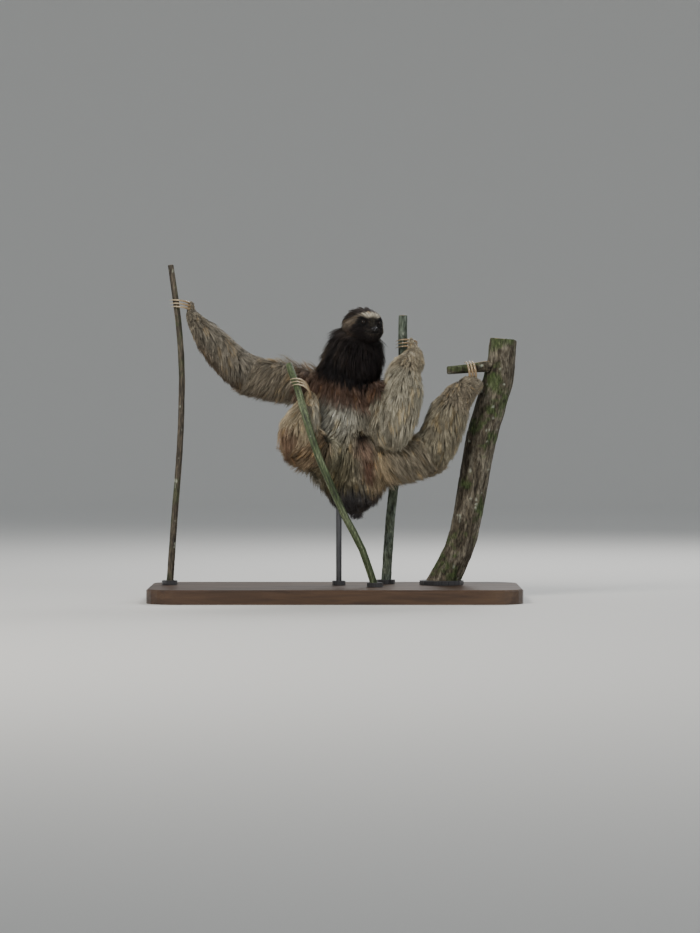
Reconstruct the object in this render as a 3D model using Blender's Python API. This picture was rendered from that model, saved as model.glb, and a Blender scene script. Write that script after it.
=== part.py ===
"""A three-toed sloth, life size, gripping cut lengths of trunk, branch, pole and vine on a display stand.

Metres, +Z up. The origin is the middle of the stand's underside. The sloth's belly and face look along -Y,
and its own left side is at +X. Every body solid reaches out to the tips of the coat.
"""

import math

import bmesh
import bpy
from mathutils import Matrix, Vector

MM = 0.001

# ---------------------------------------------------------------- driving dimensions, in millimetres

GAP = 0.4  # clear gap between two solids that meet
BASE_SIZE = (780.0, 360.0, 30.0)  # the stand's flat base
BASE_CORNER = 60.0
BASE_EDGE = 3.0
STEM_START = 10.0  # stems are drawn from this height and cut off level, just above the base

ROD_RADIUS = 6.0
ROD_PLACE = (8.0, 30.0)
ROD_TOP = 252.0
COLLAR_WALL = 8.0  # the rings that hold the rod's and the stems' feet
COLLAR_HEIGHT = 9.0

CLAW_BEND = 24.0  # radius of a claw's arc
CLAW_ROOT = 3.3  # claw radius where it leaves the toe
CLAW_TIP = 0.8
CLAW_PITCH = 6.6  # distance between neighbouring claws
CLAW_STEPS = 8

HEAD_CENTRE = (62.0, 0.0, 575.0)
HEAD_YAW, HEAD_PITCH, HEAD_ROLL = 25.0, -5.0, 3.0  # degrees
EYE_PLACE = (18.5, -35.0, 5.0)  # in the head's own frame; the other eye is mirrored
EYE_RADIUS = 6.2
EAR_PLACE = (41.0, 8.0, 4.0)
EAR_SIZE = (5.0, 8.0, 11.0)
NOSE_PLACE = (0.0, -52.0, -11.0)
NOSE_SIZE = (9.0, 6.0, 6.5)

# A limb or stem is a list of (point, radius); a body mass is (centre, half sizes).
TRUNK_MASSES = [
    ((18, 48, 425), (86, 74, 62)),  # chest
    ((28, 38, 362), (90, 82, 70)),  # belly
    ((32, 12, 285), (84, 82, 76)),  # hips
    ((38, 8, 248), (66, 66, 48)),  # rump
    ((-36, 50, 446), (52, 46, 44)),  # right shoulder
    ((70, 34, 430), (46, 46, 46)),  # left shoulder
]
NECK = [((26, 46, 440), 65), ((38, 34, 495), 68), ((44, 23, 535), 66), ((50, 17, 566), 53)]
TAIL = [((44, 34, 232), 30), ((48, 20, 204), 23), ((50, 10, 189), 15)]
HEAD_MASSES = [
    ((0, 4, 4), (44, 46, 37)),  # braincase
    ((0, -2, -8), (46, 35, 32)),  # cheeks
    ((0, -20, 13), (33, 22, 21)),  # brow
    ((0, -33, -14), (20, 20, 15)),  # muzzle
    ((0, -25, -28), (18, 19, 11)),  # chin
]

ARM_RIGHT = [
    ((-42, 50, 452), 49),
    ((-115, 50, 462), 47),
    ((-192, 46, 478), 45),
    ((-243, 42, 528), 39),
    ((-288, 36, 578), 29),
    ((-306, 38, 602), 21),
]
UPPER_ARM_LEFT = [((72, 20, 425), 45), ((106, -22, 374), 40), ((134, -68, 324), 34)]
FOREARM_LEFT = [
    ((138, -80, 320), 36),
    ((142, -54, 370), 42),
    ((143, -28, 424), 44),
    ((144, -10, 466), 43),
    ((137, -3, 490), 34),
    ((166, 14, 504), 27),
    ((184, 32, 517), 22),
]
LEG_RIGHT = [
    ((0, 0, 296), 56),
    ((-45, -25, 318), 50),
    ((-84, -43, 344), 46),
    ((-68, -34, 380), 43),
    ((-56, -29, 410), 31),
    ((-53, -24, 428), 21),
]
LEG_LEFT = [
    ((100, 5, 290), 54),
    ((155, 0, 298), 50),
    ((208, -5, 316), 47),
    ((230, 0, 370), 47),
    ((254, 3, 418), 44),
    ((276, -2, 445), 32),
]

TREE = [
    ((214, 50, STEM_START), 34),
    ((260, 50, 100), 31),
    ((283, 50, 190), 31),
    ((308, 52, 336), 33),
    ((345, 54, 462), 32),
    ((356, 54, 550), 28),
]
BRANCH = [((346, 48, 490), 14), ((314, 33, 491), 12), ((282, 24, 487), 10), ((236, 14, 483), 9)]
POLE = [
    ((107, 86, STEM_START), 11),
    ((117, 76, 170), 10.5),
    ((131, 66, 285), 10),
    ((140, 58, 370), 10),
    ((143, 50, 440), 10),
    ((143, 45, 536), 10),
    ((143, 44, 600), 9.5),
]
FOOT_VINE = [
    ((90, -45, STEM_START), 8),
    ((57, -66, 109), 8),
    ((21, -84, 178), 8),
    ((-10, -95, 248), 8),
    ((-34, -101, 304), 8),
    ((-48, -101, 345), 8),
    ((-57, -93, 374), 8),
    ((-68, -74, 410), 8),
    ((-79, -46, 448), 8),
    ((-97, -10, 495), 7.5),
]
HAND_VINE = [
    ((-351, 50, STEM_START), 8),
    ((-340, 45, 168), 7.5),
    ((-328, 40, 315), 7),
    ((-323, 38, 462), 7),
    ((-328, 38, 560), 7),
    ((-335, 40, 622), 7),
    ((-347, 42, 706), 6.5),
]

# Each grip: the point on the stem with the stem's radius, the side that the toes come from, the side that the
# claws pass over, the angles round the claw's arc where it starts, ends and touches the stem, and how far the
# arc's plane dips towards the toes and rises on the side that it passes over. Angles are in degrees.
GRIPS = {
    "hand_left": dict(
        at=POLE[5], toes=(1, 0, 0), over=(0, -1, 0),
        start=-5, end=158, touch=130, dip=0, rise=20,
    ),
    "hand_right": dict(
        at=HAND_VINE[5], toes=(1, 0, 0), over=(0, -1, 0),
        start=-5, end=158, touch=130, dip=15, rise=10,
    ),
    "foot_right": dict(
        at=FOOT_VINE[8], toes=(0.9, 0.3, 0), over=(0.4, -0.7, 0.6),
        start=-5, end=158, touch=125, dip=34, rise=8,
    ),
    "foot_left": dict(
        at=BRANCH[2], toes=(0, -1, 0), over=(0, 0, 1),
        start=-38, end=132, touch=100, dip=0, rise=0,
    ),
}
STEM_OF_GRIP = {"hand_left": POLE, "hand_right": HAND_VINE, "foot_right": FOOT_VINE, "foot_left": BRANCH}

TOE_RADII = (10.5, 9.0, 7.4)  # a toe's radius halfway out, at the claw's root and just over it
TRUNK_CUTS = [  # (point, direction up the trunk) of the planes between rump, belly and chest
    ((30, 26, 318), (0, 0.25, 1)),
    ((24, 42, 398), (-0.12, 0.1, 1)),
]
LIMB_CUTS = {  # the knots of each limb's route where it is parted, and the parts' names
    "arm_right": ((2, 4), ["upper_arm_right", "forearm_right", "hand_right"]),
    "fore_left": ((4,), ["forearm_left", "hand_left"]),
    "leg_right": ((2, 4), ["thigh_right", "shin_right", "foot_right"]),
    "leg_left": ((2, 4), ["thigh_left", "shin_left", "foot_left"]),
}
SKIN = {  # each mass of flesh: the size of a step on its skin in millimetres, and its triangles
    "head": (2.4, 500),
    "trunk": (5.0, 560),
    "neck": (4.0, 190),
    "tail": (3.0, 80),
    "arm_right": (3.0, 340),
    "fore_left": (3.0, 300),
    "upper_left": (3.0, 110),
    "leg_right": (3.0, 330),
    "leg_left": (3.0, 330),
}

# ---------------------------------------------------------------- materials

FINISHES = {  # name: (base colour, roughness, metallic)
    "coat_grey": ((0.20, 0.165, 0.12), 0.95, 0.0),
    "coat_chest": ((0.14, 0.075, 0.045), 0.95, 0.0),
    "coat_dark": ((0.018, 0.013, 0.012), 0.95, 0.0),
    "coat_face": ((0.30, 0.26, 0.20), 0.95, 0.0),
    "claw_horn": ((0.42, 0.27, 0.12), 0.45, 0.0),
    "nose_skin": ((0.012, 0.010, 0.010), 0.4, 0.0),
    "eye_dark": ((0.015, 0.008, 0.005), 0.05, 0.0),
    "bark": ((0.11, 0.10, 0.065), 0.9, 0.0),
    "vine_green": ((0.10, 0.13, 0.07), 0.8, 0.0),
    "base_wood": ((0.06, 0.035, 0.02), 0.45, 0.0),
    "rod_steel": ((0.12, 0.12, 0.12), 0.4, 1.0),
}


def finish(name):
    """The named finish as a Principled material, made once."""
    found = bpy.data.materials.get(name)
    if found:
        return found
    colour, roughness, metallic = FINISHES[name]
    made = bpy.data.materials.new(name)
    made.use_nodes = True
    shader = made.node_tree.nodes["Principled BSDF"]
    shader.inputs["Base Color"].default_value = (*colour, 1.0)
    shader.inputs["Roughness"].default_value = roughness
    shader.inputs["Metallic"].default_value = metallic
    made.diffuse_color = (*colour, 1.0)
    return made


# ---------------------------------------------------------------- making and changing solids


def clear_scene():
    for thing in list(bpy.data.objects):
        bpy.data.objects.remove(thing)


def link(name, mesh):
    """A new object that shows this mesh."""
    thing = bpy.data.objects.new(name, mesh)
    bpy.context.scene.collection.objects.link(thing)
    return thing


def settle(thing):
    """Replaces an object, of any type, by an object of plain triangles with its modifiers applied."""
    bpy.context.view_layer.update()
    graph = bpy.context.evaluated_depsgraph_get()
    mesh = bpy.data.meshes.new_from_object(thing.evaluated_get(graph))
    mesh.transform(thing.matrix_world)
    bm = bmesh.new()
    bm.from_mesh(mesh)
    bmesh.ops.triangulate(bm, faces=bm.faces)
    bm.to_mesh(mesh)
    bm.free()
    name = thing.name
    bpy.data.objects.remove(thing)
    return link(name, mesh)


def smooth_route(route, steps):
    """Points and radii along a Catmull-Rom curve through the route, in metres."""
    points = [Vector(p) * MM for p, r in route]
    radii = [r * MM for p, r in route]
    ends = [points[0] * 2 - points[1]] + points + [points[-1] * 2 - points[-2]]
    made = []
    for i in range(len(points) - 1):
        a, b, c, d = ends[i : i + 4]
        for k in range(steps):
            t = k / steps
            square = (2 * a - 5 * b + 4 * c - d) * t**2
            cube = (3 * b - a - 3 * c + d) * t**3
            bend = 0.5 * (2 * b + (c - a) * t + square + cube)
            made.append((bend, radii[i] + (radii[i + 1] - radii[i]) * t))
    made.append((points[-1], radii[-1]))
    return made


def tube(name, stations, sides=12):
    """A closed round tube through (point, radius) stations in metres, as a bevelled curve."""
    curve = bpy.data.curves.new(name, "CURVE")
    curve.dimensions = "3D"
    curve.bevel_depth = 1.0
    curve.bevel_resolution = (sides - 4) // 2
    curve.use_fill_caps = True
    spline = curve.splines.new("POLY")
    spline.points.add(len(stations) - 1)
    for point, (place, radius) in zip(spline.points, stations):
        point.co = (*place, 1.0)
        point.radius = radius
    made = settle(link(name, curve))
    weld(made)
    return made


def weld(thing):
    """Merges the points where a curve's caps meet its sides, and turns every face outwards."""
    bm = bmesh.new()
    bm.from_mesh(thing.data)
    bmesh.ops.remove_doubles(bm, verts=bm.verts, dist=0.00002)
    bmesh.ops.recalc_face_normals(bm, faces=bm.faces)
    bm.to_mesh(thing.data)
    bm.free()


def ball(name, centre, half_sizes, place=Matrix.Identity(4), segments=32):
    """An ellipsoid with these half sizes, in millimetres, in the frame that place gives."""
    bm = bmesh.new()
    bmesh.ops.create_uvsphere(bm, u_segments=segments, v_segments=segments // 2, radius=1.0)
    size = Matrix.Diagonal((*(s * MM for s in half_sizes), 1.0))
    bmesh.ops.transform(bm, matrix=place @ Matrix.Translation(Vector(centre) * MM) @ size, verts=bm.verts)
    bmesh.ops.triangulate(bm, faces=bm.faces)
    mesh = bpy.data.meshes.new(name)
    bm.to_mesh(mesh)
    bm.free()
    return link(name, mesh)


def fused(name, pieces, rounds=8):
    """One smooth skin round several overlapping closed pieces, as SKIN says for this mass of flesh.

    It is still uncut: the solids of the part are carved and parted from it.
    """
    voxel, triangles = SKIN[name]
    bm = bmesh.new()
    for piece in pieces:
        bm.from_mesh(piece.data)
        bpy.data.objects.remove(piece)
    mesh = bpy.data.meshes.new(name)
    bm.to_mesh(mesh)
    bm.free()
    whole = link(f"{name}_uncut", mesh)
    remesh = whole.modifiers.new("skin", "REMESH")
    remesh.mode = "VOXEL"
    remesh.voxel_size = voxel * MM
    soften = whole.modifiers.new("soften", "SMOOTH")
    soften.factor = 0.5
    soften.iterations = rounds
    whole = settle(whole)
    whole.data.calc_loop_triangles()
    thin = whole.modifiers.new("thin", "DECIMATE")
    thin.ratio = min(1.0, triangles / len(whole.data.loop_triangles))
    relax = whole.modifiers.new("relax", "SMOOTH")
    relax.factor = 0.4
    relax.iterations = 2
    return settle(whole)


def swelled(things, by):
    """One hidden solid made of copies of these, grown outwards by this many millimetres."""
    bm = bmesh.new()
    for thing in things:
        bm.from_mesh(thing.data)
    mesh = bpy.data.meshes.new("swelled")
    bm.to_mesh(mesh)
    bm.free()
    copy = link("swelled", mesh)
    grow = copy.modifiers.new("grow", "DISPLACE")
    grow.mid_level = 0.0
    grow.strength = by * MM
    return settle(copy)


def without(solid, *others):
    """A copy of the solid less the room that the others take, with the usual gap left between them.

    Each of the others is a solid, or a list of solids that lie clear of each other.
    """
    thing = link(solid.name, solid.data.copy())
    for other in others:
        cutter = swelled(other if isinstance(other, list) else [other], GAP)
        cut = thing.modifiers.new("cut", "BOOLEAN")
        cut.operation = "DIFFERENCE"
        cut.solver = "EXACT"
        cut.object = cutter
        thing = settle(thing)
        bpy.data.objects.remove(cutter)
    return largest_body(thing)


def largest_body(thing):
    """Keeps the biggest connected body of a mesh that a cut left in several."""
    bm = bmesh.new()
    bm.from_mesh(thing.data)
    left = set(bm.verts)
    bodies = []
    while left:
        front = [left.pop()]
        body = set(front)
        while front:
            near = [e.other_vert(v) for v in front for e in v.link_edges]
            front = [v for v in set(near) if v not in body]
            body.update(front)
        left -= body
        bodies.append(body)
    keep = max(bodies, key=len)
    bmesh.ops.delete(bm, geom=[v for v in bm.verts if v not in keep], context="VERTS")
    bm.to_mesh(thing.data)
    bm.free()
    return thing


def half(thing, name, point, normal):
    """A copy of the part of a solid on the side of a plane that the normal points to."""
    bm = bmesh.new()
    bm.from_mesh(thing.data)
    normal = normal.normalized()
    plane = point + normal * GAP / 2 * MM
    everything = bm.verts[:] + bm.edges[:] + bm.faces[:]
    cut = bmesh.ops.bisect_plane(
        bm, geom=everything, dist=1e-7, plane_co=plane, plane_no=normal, clear_inner=True,
    )
    edges = [g for g in cut["geom_cut"] if isinstance(g, bmesh.types.BMEdge)]
    bmesh.ops.holes_fill(bm, edges=edges)
    bmesh.ops.recalc_face_normals(bm, faces=bm.faces)
    bmesh.ops.triangulate(bm, faces=bm.faces)
    mesh = bpy.data.meshes.new(name)
    bm.to_mesh(mesh)
    bm.free()
    return link(name, mesh)


def parted(thing, names, cuts):
    """Cuts a solid by planes, from one end to the other, into named solids."""
    made = []
    for i, (point, along) in enumerate(cuts):
        point, along = Vector(point) * MM, Vector(along)
        made.append(half(thing, names[i], point, -along))
        rest = half(thing, names[i + 1], point, along)
        bpy.data.objects.remove(thing)
        thing = rest
    made.append(thing)
    for piece, name in zip(made, names):
        largest_body(piece).name = name
    return made


def bend_of(route, i):
    """The middle direction of a route at one of its knots, to cut it square there."""
    before, here, after = (Vector(route[k][0]) for k in (i - 1, i, i + 1))
    return (here - before).normalized() + (after - here).normalized()


def dress(thing, finish_name, sharp_degrees=40):
    """Gives a solid its finish and its shading."""
    thing.data.materials.clear()
    thing.data.materials.append(finish(finish_name))
    thing.data.shade_smooth()
    thing.data.set_sharp_from_angle(angle=math.radians(sharp_degrees))
    return thing


# ---------------------------------------------------------------- claws and the toes that hold them


def stem_direction(route, place):
    """The way that a stem runs past one of its knots."""
    i = [knot[0] for knot in route].index(place)
    before, after = Vector(route[max(i - 1, 0)][0]), Vector(route[min(i + 1, len(route) - 1)][0])
    return (after - before).normalized()


def claw_frame(limb):
    """The stem's direction at a grip, and the claws' own toe side, upper side and row direction."""
    grip = GRIPS[limb]
    along = stem_direction(STEM_OF_GRIP[limb], grip["at"][0])
    toes = Vector(grip["toes"])
    toes = (toes - toes.dot(along) * along).normalized()
    over = along.cross(toes)
    if over.dot(Vector(grip["over"])) < 0:
        over = -over
    if along.z < 0:
        along = -along
    dip, rise = math.radians(grip["dip"]), math.radians(grip["rise"])
    low_toes = toes * math.cos(dip) - along * math.sin(dip)
    row = toes * math.sin(dip) + along * math.cos(dip)
    high_over = over * math.cos(rise) + row * math.sin(rise)
    return along, low_toes, high_over, row * math.cos(rise) - over * math.sin(rise)


def claw_lines(limb):
    """For each of the three claws of a hand or foot: its stations, root first, in metres."""
    grip = GRIPS[limb]
    place, stem_radius = grip["at"]
    along, toes, over, row = claw_frame(limb)

    def around(degrees):
        return toes * math.cos(math.radians(degrees)) + over * math.sin(math.radians(degrees))

    square = along.dot(row)  # 1 where the arc's plane is square to the stem
    reach = CLAW_BEND - stem_radius / square - CLAW_ROOT - 1.0
    middle = Vector(place) - around(grip["touch"]) * reach
    lines = []
    for place_in_row in (-1, 0, 1):
        stations = []
        for k in range(CLAW_STEPS):
            t = k / (CLAW_STEPS - 1)
            turn = around(grip["start"] + (grip["end"] - grip["start"]) * t)
            radius = CLAW_ROOT + (CLAW_TIP - CLAW_ROOT) * t**1.6
            shift = along * place_in_row * CLAW_PITCH / square
            stations.append(((middle + turn * CLAW_BEND + shift) * MM, radius * MM))
        lines.append(stations)
    return lines


def limb_end(limb, route):
    """The toes: short tubes from the end of the limb out over the claws' roots."""
    palm, radius = Vector(route[-1][0]) * MM, route[-1][1] * MM
    toes = []
    for line in claw_lines(limb):
        root, next_point = line[0][0], line[1][0]
        places = ((palm + root) / 2, root, next_point)
        toe = [(palm, radius * 0.7)] + [(place, r * MM) for place, r in zip(places, TOE_RADII)]
        toes.append(tube("toe", toe))
    return toes


def limb_solid(name, route, limb=None):
    """One smooth closed limb along its route, with toes where it ends in a hand or foot."""
    pieces = [tube("limb", smooth_route(route, 6), sides=24)]
    pieces += [ball("end", p, (r * 0.98,) * 3) for p, r in (route[0], route[-1])]
    if limb:
        pieces += limb_end(limb, route)
    return fused(name, pieces, rounds=6)


def make_claws(limb):
    claws = []
    for i, line in enumerate(claw_lines(limb)):
        claws.append(dress(tube(f"claw_{limb}_{i + 1}", line, sides=6), "claw_horn"))
    return claws


# ---------------------------------------------------------------- the perches and the stand


def make_stem(name, route, finish_name, sides, steps=2):
    """A stem along its route, cut off level just above the base."""
    whole = tube(name + "_uncut", smooth_route(route, steps), sides)
    stem = half(whole, name, Vector((0, 0, BASE_SIZE[2] + GAP / 2)) * MM, Vector((0, 0, 1)))
    bpy.data.objects.remove(whole)
    return dress(stem, finish_name)


def make_perches():
    tree = make_stem("perch_trunk", TREE, "bark", 12)
    whole_branch = make_stem("branch_uncut", BRANCH, "bark", 10)
    branch = without(whole_branch, tree)
    bpy.data.objects.remove(whole_branch)
    branch.name = "perch_branch"
    pole = make_stem("perch_pole", POLE, "vine_green", 8)
    foot_vine = make_stem("perch_vine_foot", FOOT_VINE, "vine_green", 8)
    hand_vine = make_stem("perch_vine_hand", HAND_VINE, "bark", 8)
    return tree, dress(branch, "bark"), pole, foot_vine, hand_vine


def make_base():
    """The flat base: a plate with round corners and a softened upper edge."""
    bm = bmesh.new()
    bmesh.ops.create_cube(bm, size=1.0)
    wide, deep, thick = (s * MM for s in BASE_SIZE)
    bmesh.ops.scale(bm, vec=(wide, deep, thick), verts=bm.verts)
    bmesh.ops.translate(bm, vec=(0, 0, thick / 2), verts=bm.verts)
    upright = [e for e in bm.edges if abs(e.verts[0].co.z - e.verts[1].co.z) > thick / 2]
    rounding = dict(profile=0.5, affect="EDGES", material=-1)
    bmesh.ops.bevel(bm, geom=upright, offset=BASE_CORNER * MM, segments=5, **rounding)
    top = [e for e in bm.edges if min(v.co.z for v in e.verts) > thick * 0.99]
    rim = [e for e in top if abs(e.link_faces[0].normal.z - e.link_faces[1].normal.z) > 0.5]
    bmesh.ops.bevel(bm, geom=rim, offset=BASE_EDGE * MM, segments=1, **rounding)
    mesh = bpy.data.meshes.new("stand_base")
    bm.to_mesh(mesh)
    bm.free()
    return dress(link("stand_base", mesh), "base_wood")


def make_rod():
    x, y = ROD_PLACE
    ends = [(Vector((x, y, z)) * MM, ROD_RADIUS * MM) for z in (BASE_SIZE[2] + GAP, ROD_TOP)]
    return dress(tube("stand_rod", ends, sides=12), "rod_steel")


def make_collar(name, stem):
    """A ring round a stem's foot, with its hole at the stem's slant."""
    foot = [v.co for v in stem.data.vertices if v.co.z < (BASE_SIZE[2] + COLLAR_HEIGHT * 3) * MM]
    low = min(v.z for v in foot)
    ring = [v for v in foot if v.z < low + 0.001]
    centre = sum(ring, Vector()) / len(ring)
    reach = max((v - centre).xy.length for v in ring) + COLLAR_WALL * MM
    floor = (BASE_SIZE[2] + GAP) * MM
    ends = [(Vector((centre.x, centre.y, z)), reach) for z in (floor, floor + COLLAR_HEIGHT * MM)]
    blank = tube(name + "_blank", ends, sides=10)
    collar = without(blank, stem)
    bpy.data.objects.remove(blank)
    collar.name = name
    return dress(collar, "rod_steel")


# ---------------------------------------------------------------- the head


def head_place():
    turn = Matrix.Rotation(math.radians(HEAD_YAW), 4, "Z")
    turn @= Matrix.Rotation(math.radians(HEAD_ROLL), 4, "Y")
    turn @= Matrix.Rotation(math.radians(HEAD_PITCH), 4, "X")
    return Matrix.Translation(Vector(HEAD_CENTRE) * MM) @ turn


def make_head():
    """Head with its eyes, ears and nose pad set into it."""
    place = head_place()
    masses = [ball("mass", c, s, place) for c, s in HEAD_MASSES]
    head = fused("head", masses, rounds=6)
    small = []
    for side, sign in (("left", 1), ("right", -1)):
        x, y, z = EYE_PLACE
        small.append(dress(ball(f"eye_{side}", (sign * x, y, z), (EYE_RADIUS,) * 3, place, 8), "eye_dark"))
        x, y, z = EAR_PLACE
        small.append(dress(ball(f"ear_{side}", (sign * x, y, z), EAR_SIZE, place, 8), "coat_face"))
    small.append(dress(ball("nose", NOSE_PLACE, NOSE_SIZE, place, 8), "nose_skin"))
    cut = dress(without(head, small), "coat_face")
    cut.name = "head"
    return head


# ---------------------------------------------------------------- the whole animal


def make_body(stems):
    """Every mass is made whole, then each is carved by the whole ones that lie before it."""
    tree, branch, pole, foot_vine, hand_vine, rod = stems
    claws = {limb: make_claws(limb) for limb in GRIPS}
    head = make_head()
    trunk = fused("trunk", [ball("mass", c, s) for c, s in TRUNK_MASSES])
    neck = fused("neck", [tube("tube", smooth_route(NECK, 6), 24)])
    tail_tip, tip_radius = TAIL[-1]
    tip = ball("tip", tail_tip, (tip_radius,) * 3)
    tail = fused("tail", [tube("tube", smooth_route(TAIL, 4), 16), tip])
    arm_right = limb_solid("arm_right", ARM_RIGHT, "hand_right")
    fore_left = limb_solid("fore_left", FOREARM_LEFT, "hand_left")
    upper_left = limb_solid("upper_left", UPPER_ARM_LEFT)
    leg_right = limb_solid("leg_right", LEG_RIGHT, "foot_right")
    leg_left = limb_solid("leg_left", LEG_LEFT, "foot_left")
    whole = [head, trunk, neck, tail, arm_right, fore_left, upper_left, leg_right, leg_left]

    part_trunk(without(trunk, rod, pole, foot_vine))
    dress(without(neck, head, trunk), "coat_dark").name = "neck"
    dress(without(tail, trunk, rod), "coat_dark").name = "tail"
    dress(without(upper_left, trunk, neck, fore_left, leg_left, pole), "coat_grey").name = "upper_arm_left"
    carved = without(arm_right, trunk, neck, hand_vine, claws["hand_right"])
    cut_limb(carved, ARM_RIGHT, *LIMB_CUTS["arm_right"])
    carved = without(fore_left, trunk, pole, claws["hand_left"])
    cut_limb(carved, FOREARM_LEFT, *LIMB_CUTS["fore_left"])
    carved = without(leg_right, trunk, foot_vine, claws["foot_right"])
    cut_limb(carved, LEG_RIGHT, *LIMB_CUTS["leg_right"])
    carved = without(leg_left, trunk, fore_left, pole, branch, tree, claws["foot_left"])
    cut_limb(carved, LEG_LEFT, *LIMB_CUTS["leg_left"])
    for thing in whole:
        bpy.data.objects.remove(thing)


def part_trunk(trunk):
    rump, belly, chest = parted(trunk, ["rump", "belly", "chest"], TRUNK_CUTS)
    dress(rump, "coat_grey")
    dress(belly, "coat_grey")
    dress(chest, "coat_chest")


def cut_limb(limb, route, knots, names):
    """Parts a limb square across its route at these knots."""
    cuts = [(route[k][0], bend_of(route, k)) for k in knots]
    for piece in parted(limb, names, cuts):
        dress(piece, "coat_grey")


def main():
    clear_scene()
    stems = make_perches()
    make_base()
    rod = make_rod()
    for stem, place in zip((*stems, rod), ("trunk", None, "pole", "vine_foot", "vine_hand", "rod")):
        if place:
            make_collar(f"stand_socket_{place}", stem)
    make_body((*stems, rod))


main()
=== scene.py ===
# %% [markdown]
# # A three-toed sloth, dressed
#
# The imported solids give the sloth's size and pose, out to the tips of its coat. This script gives
# them their looks: one skin under a coat of long hair, a modelled face, horn claws, and mossy stems
# on a display stand. Everything is in metres, +Z is up, and the sloth looks towards -Y.

# %% Load the frame
import itertools
import math

import bmesh
import bpy
import numpy as np
from mathutils import Matrix, Vector
from mathutils.bvhtree import BVHTree
from mathutils.kdtree import KDTree


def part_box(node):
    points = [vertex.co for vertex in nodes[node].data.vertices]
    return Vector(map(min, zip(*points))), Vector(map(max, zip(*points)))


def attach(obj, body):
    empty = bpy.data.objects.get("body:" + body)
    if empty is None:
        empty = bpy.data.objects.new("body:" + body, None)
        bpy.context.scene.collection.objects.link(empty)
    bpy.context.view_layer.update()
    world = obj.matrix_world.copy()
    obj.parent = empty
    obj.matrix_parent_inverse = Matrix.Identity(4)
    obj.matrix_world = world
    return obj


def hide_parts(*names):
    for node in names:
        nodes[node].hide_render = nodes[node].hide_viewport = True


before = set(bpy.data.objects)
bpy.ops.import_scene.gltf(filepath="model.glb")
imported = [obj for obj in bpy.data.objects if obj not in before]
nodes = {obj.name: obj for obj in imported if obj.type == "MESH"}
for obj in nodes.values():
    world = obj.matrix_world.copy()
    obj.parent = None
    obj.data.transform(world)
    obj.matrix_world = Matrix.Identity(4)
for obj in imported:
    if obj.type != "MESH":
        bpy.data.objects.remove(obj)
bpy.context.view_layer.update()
MM = 0.001
print("nodes in the frame:", len(nodes))

# %% [markdown]
# The camera stands as far off as a visitor with a long lens, almost level, and sees the sloth in the
# middle of a tall picture. A long lens keeps the hands and feet from looking larger than the head.

# %% Camera
VIEW_DISTANCE = 7.4
VIEW_WIDTH = 1.47  # how wide the picture is at the sloth
VIEW_CENTRE = Vector((0.0315, 0.0, 0.281))
VIEW_LIFT = 0.12  # how much higher than that the camera stands
FILM_WIDTH = 36.0

camera = bpy.data.objects.new("camera", bpy.data.cameras.new("camera"))
bpy.context.scene.collection.objects.link(camera)
camera.location = VIEW_CENTRE + Vector((0, -VIEW_DISTANCE, VIEW_LIFT))
camera.rotation_euler = (VIEW_CENTRE - camera.location).to_track_quat("-Z", "Y").to_euler()
camera.data.sensor_fit = "HORIZONTAL"
camera.data.sensor_width = FILM_WIDTH
camera.data.lens = FILM_WIDTH * VIEW_DISTANCE / VIEW_WIDTH
camera.data.clip_end = 60.0
bpy.context.scene.camera = camera


# %% [markdown]
# Blender builds meshes with bmesh, and numpy works on all the points of a mesh in one go. These
# helpers make objects, carry points between the two and find the nearest point or face.


# %% Helpers for objects
def linked(name, data):
    """A new object in the scene."""
    thing = bpy.data.objects.new(name, data)
    bpy.context.scene.collection.objects.link(thing)
    return thing


def mesh_object(name, bm):
    """Turns a finished bmesh into an object in the scene."""
    mesh = bpy.data.meshes.new(name)
    bm.to_mesh(mesh)
    bm.free()
    return linked(name, mesh)


def placed(name, bm, centre, turn):
    """Turns a shape about its own middle, moves it to its place and makes it an object."""
    bmesh.ops.transform(bm, matrix=Matrix.Translation(centre) @ turn.to_4x4(), verts=bm.verts)
    return mesh_object(name, bm)


def applied(thing):
    """The object again, with its modifiers made part of its mesh."""
    bpy.context.view_layer.update()
    graph = bpy.context.evaluated_depsgraph_get()
    mesh = bpy.data.meshes.new_from_object(thing.evaluated_get(graph))
    name = thing.name
    bpy.data.objects.remove(thing)
    mesh.name = name
    return linked(name, mesh)


# %% Helpers for points
def read(items, field, width, kind=float):
    """One field of all the items of a mesh, as an array with a row for each item."""
    flat = np.empty(len(items) * width, dtype=kind)
    items.foreach_get(field, flat)
    return flat.reshape(-1, width)


def points_of(mesh):
    return read(mesh.vertices, "co", 3)


def normals_of(mesh):
    return read(mesh.vertex_normals, "vector", 3)


def set_points(mesh, points):
    mesh.vertices.foreach_set("co", points.ravel())
    mesh.update()


def lengths(vectors):
    """How long each vector is."""
    return np.linalg.norm(vectors, axis=-1)


def unit(vectors):
    """Vectors of length 1 along these, row by row."""
    return vectors / np.maximum(np.linalg.norm(vectors, axis=-1, keepdims=True), 1e-12)


def ease(x, low, high):
    """0 below low, 1 above high, and smooth between them."""
    t = np.clip((x - low) / (high - low), 0.0, 1.0)
    return t * t * (3 - 2 * t)


def dent(x, width):
    """1 at 0, falling smoothly to nothing a few widths away on both sides."""
    return np.exp(-(x / width) ** 2)


def mixed(values, others, weight):
    """Values drawn towards others, by a weight at each point."""
    return values * (1 - weight) + others * weight


def point_tree(points):
    """A search tree of some points."""
    tree = KDTree(len(points))
    for i, point in enumerate(points):
        tree.insert(point, i)
    tree.balance()
    return tree


def surface_tree(meshes):
    """A search tree of the faces of some meshes."""
    points, faces = [], []
    for mesh in meshes:
        mesh.calc_loop_triangles()
        start = len(points)
        points.extend(v.co.copy() for v in mesh.vertices)
        faces.extend([start + v for v in t.vertices] for t in mesh.loop_triangles)
    return BVHTree.FromPolygons(points, faces)


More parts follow.
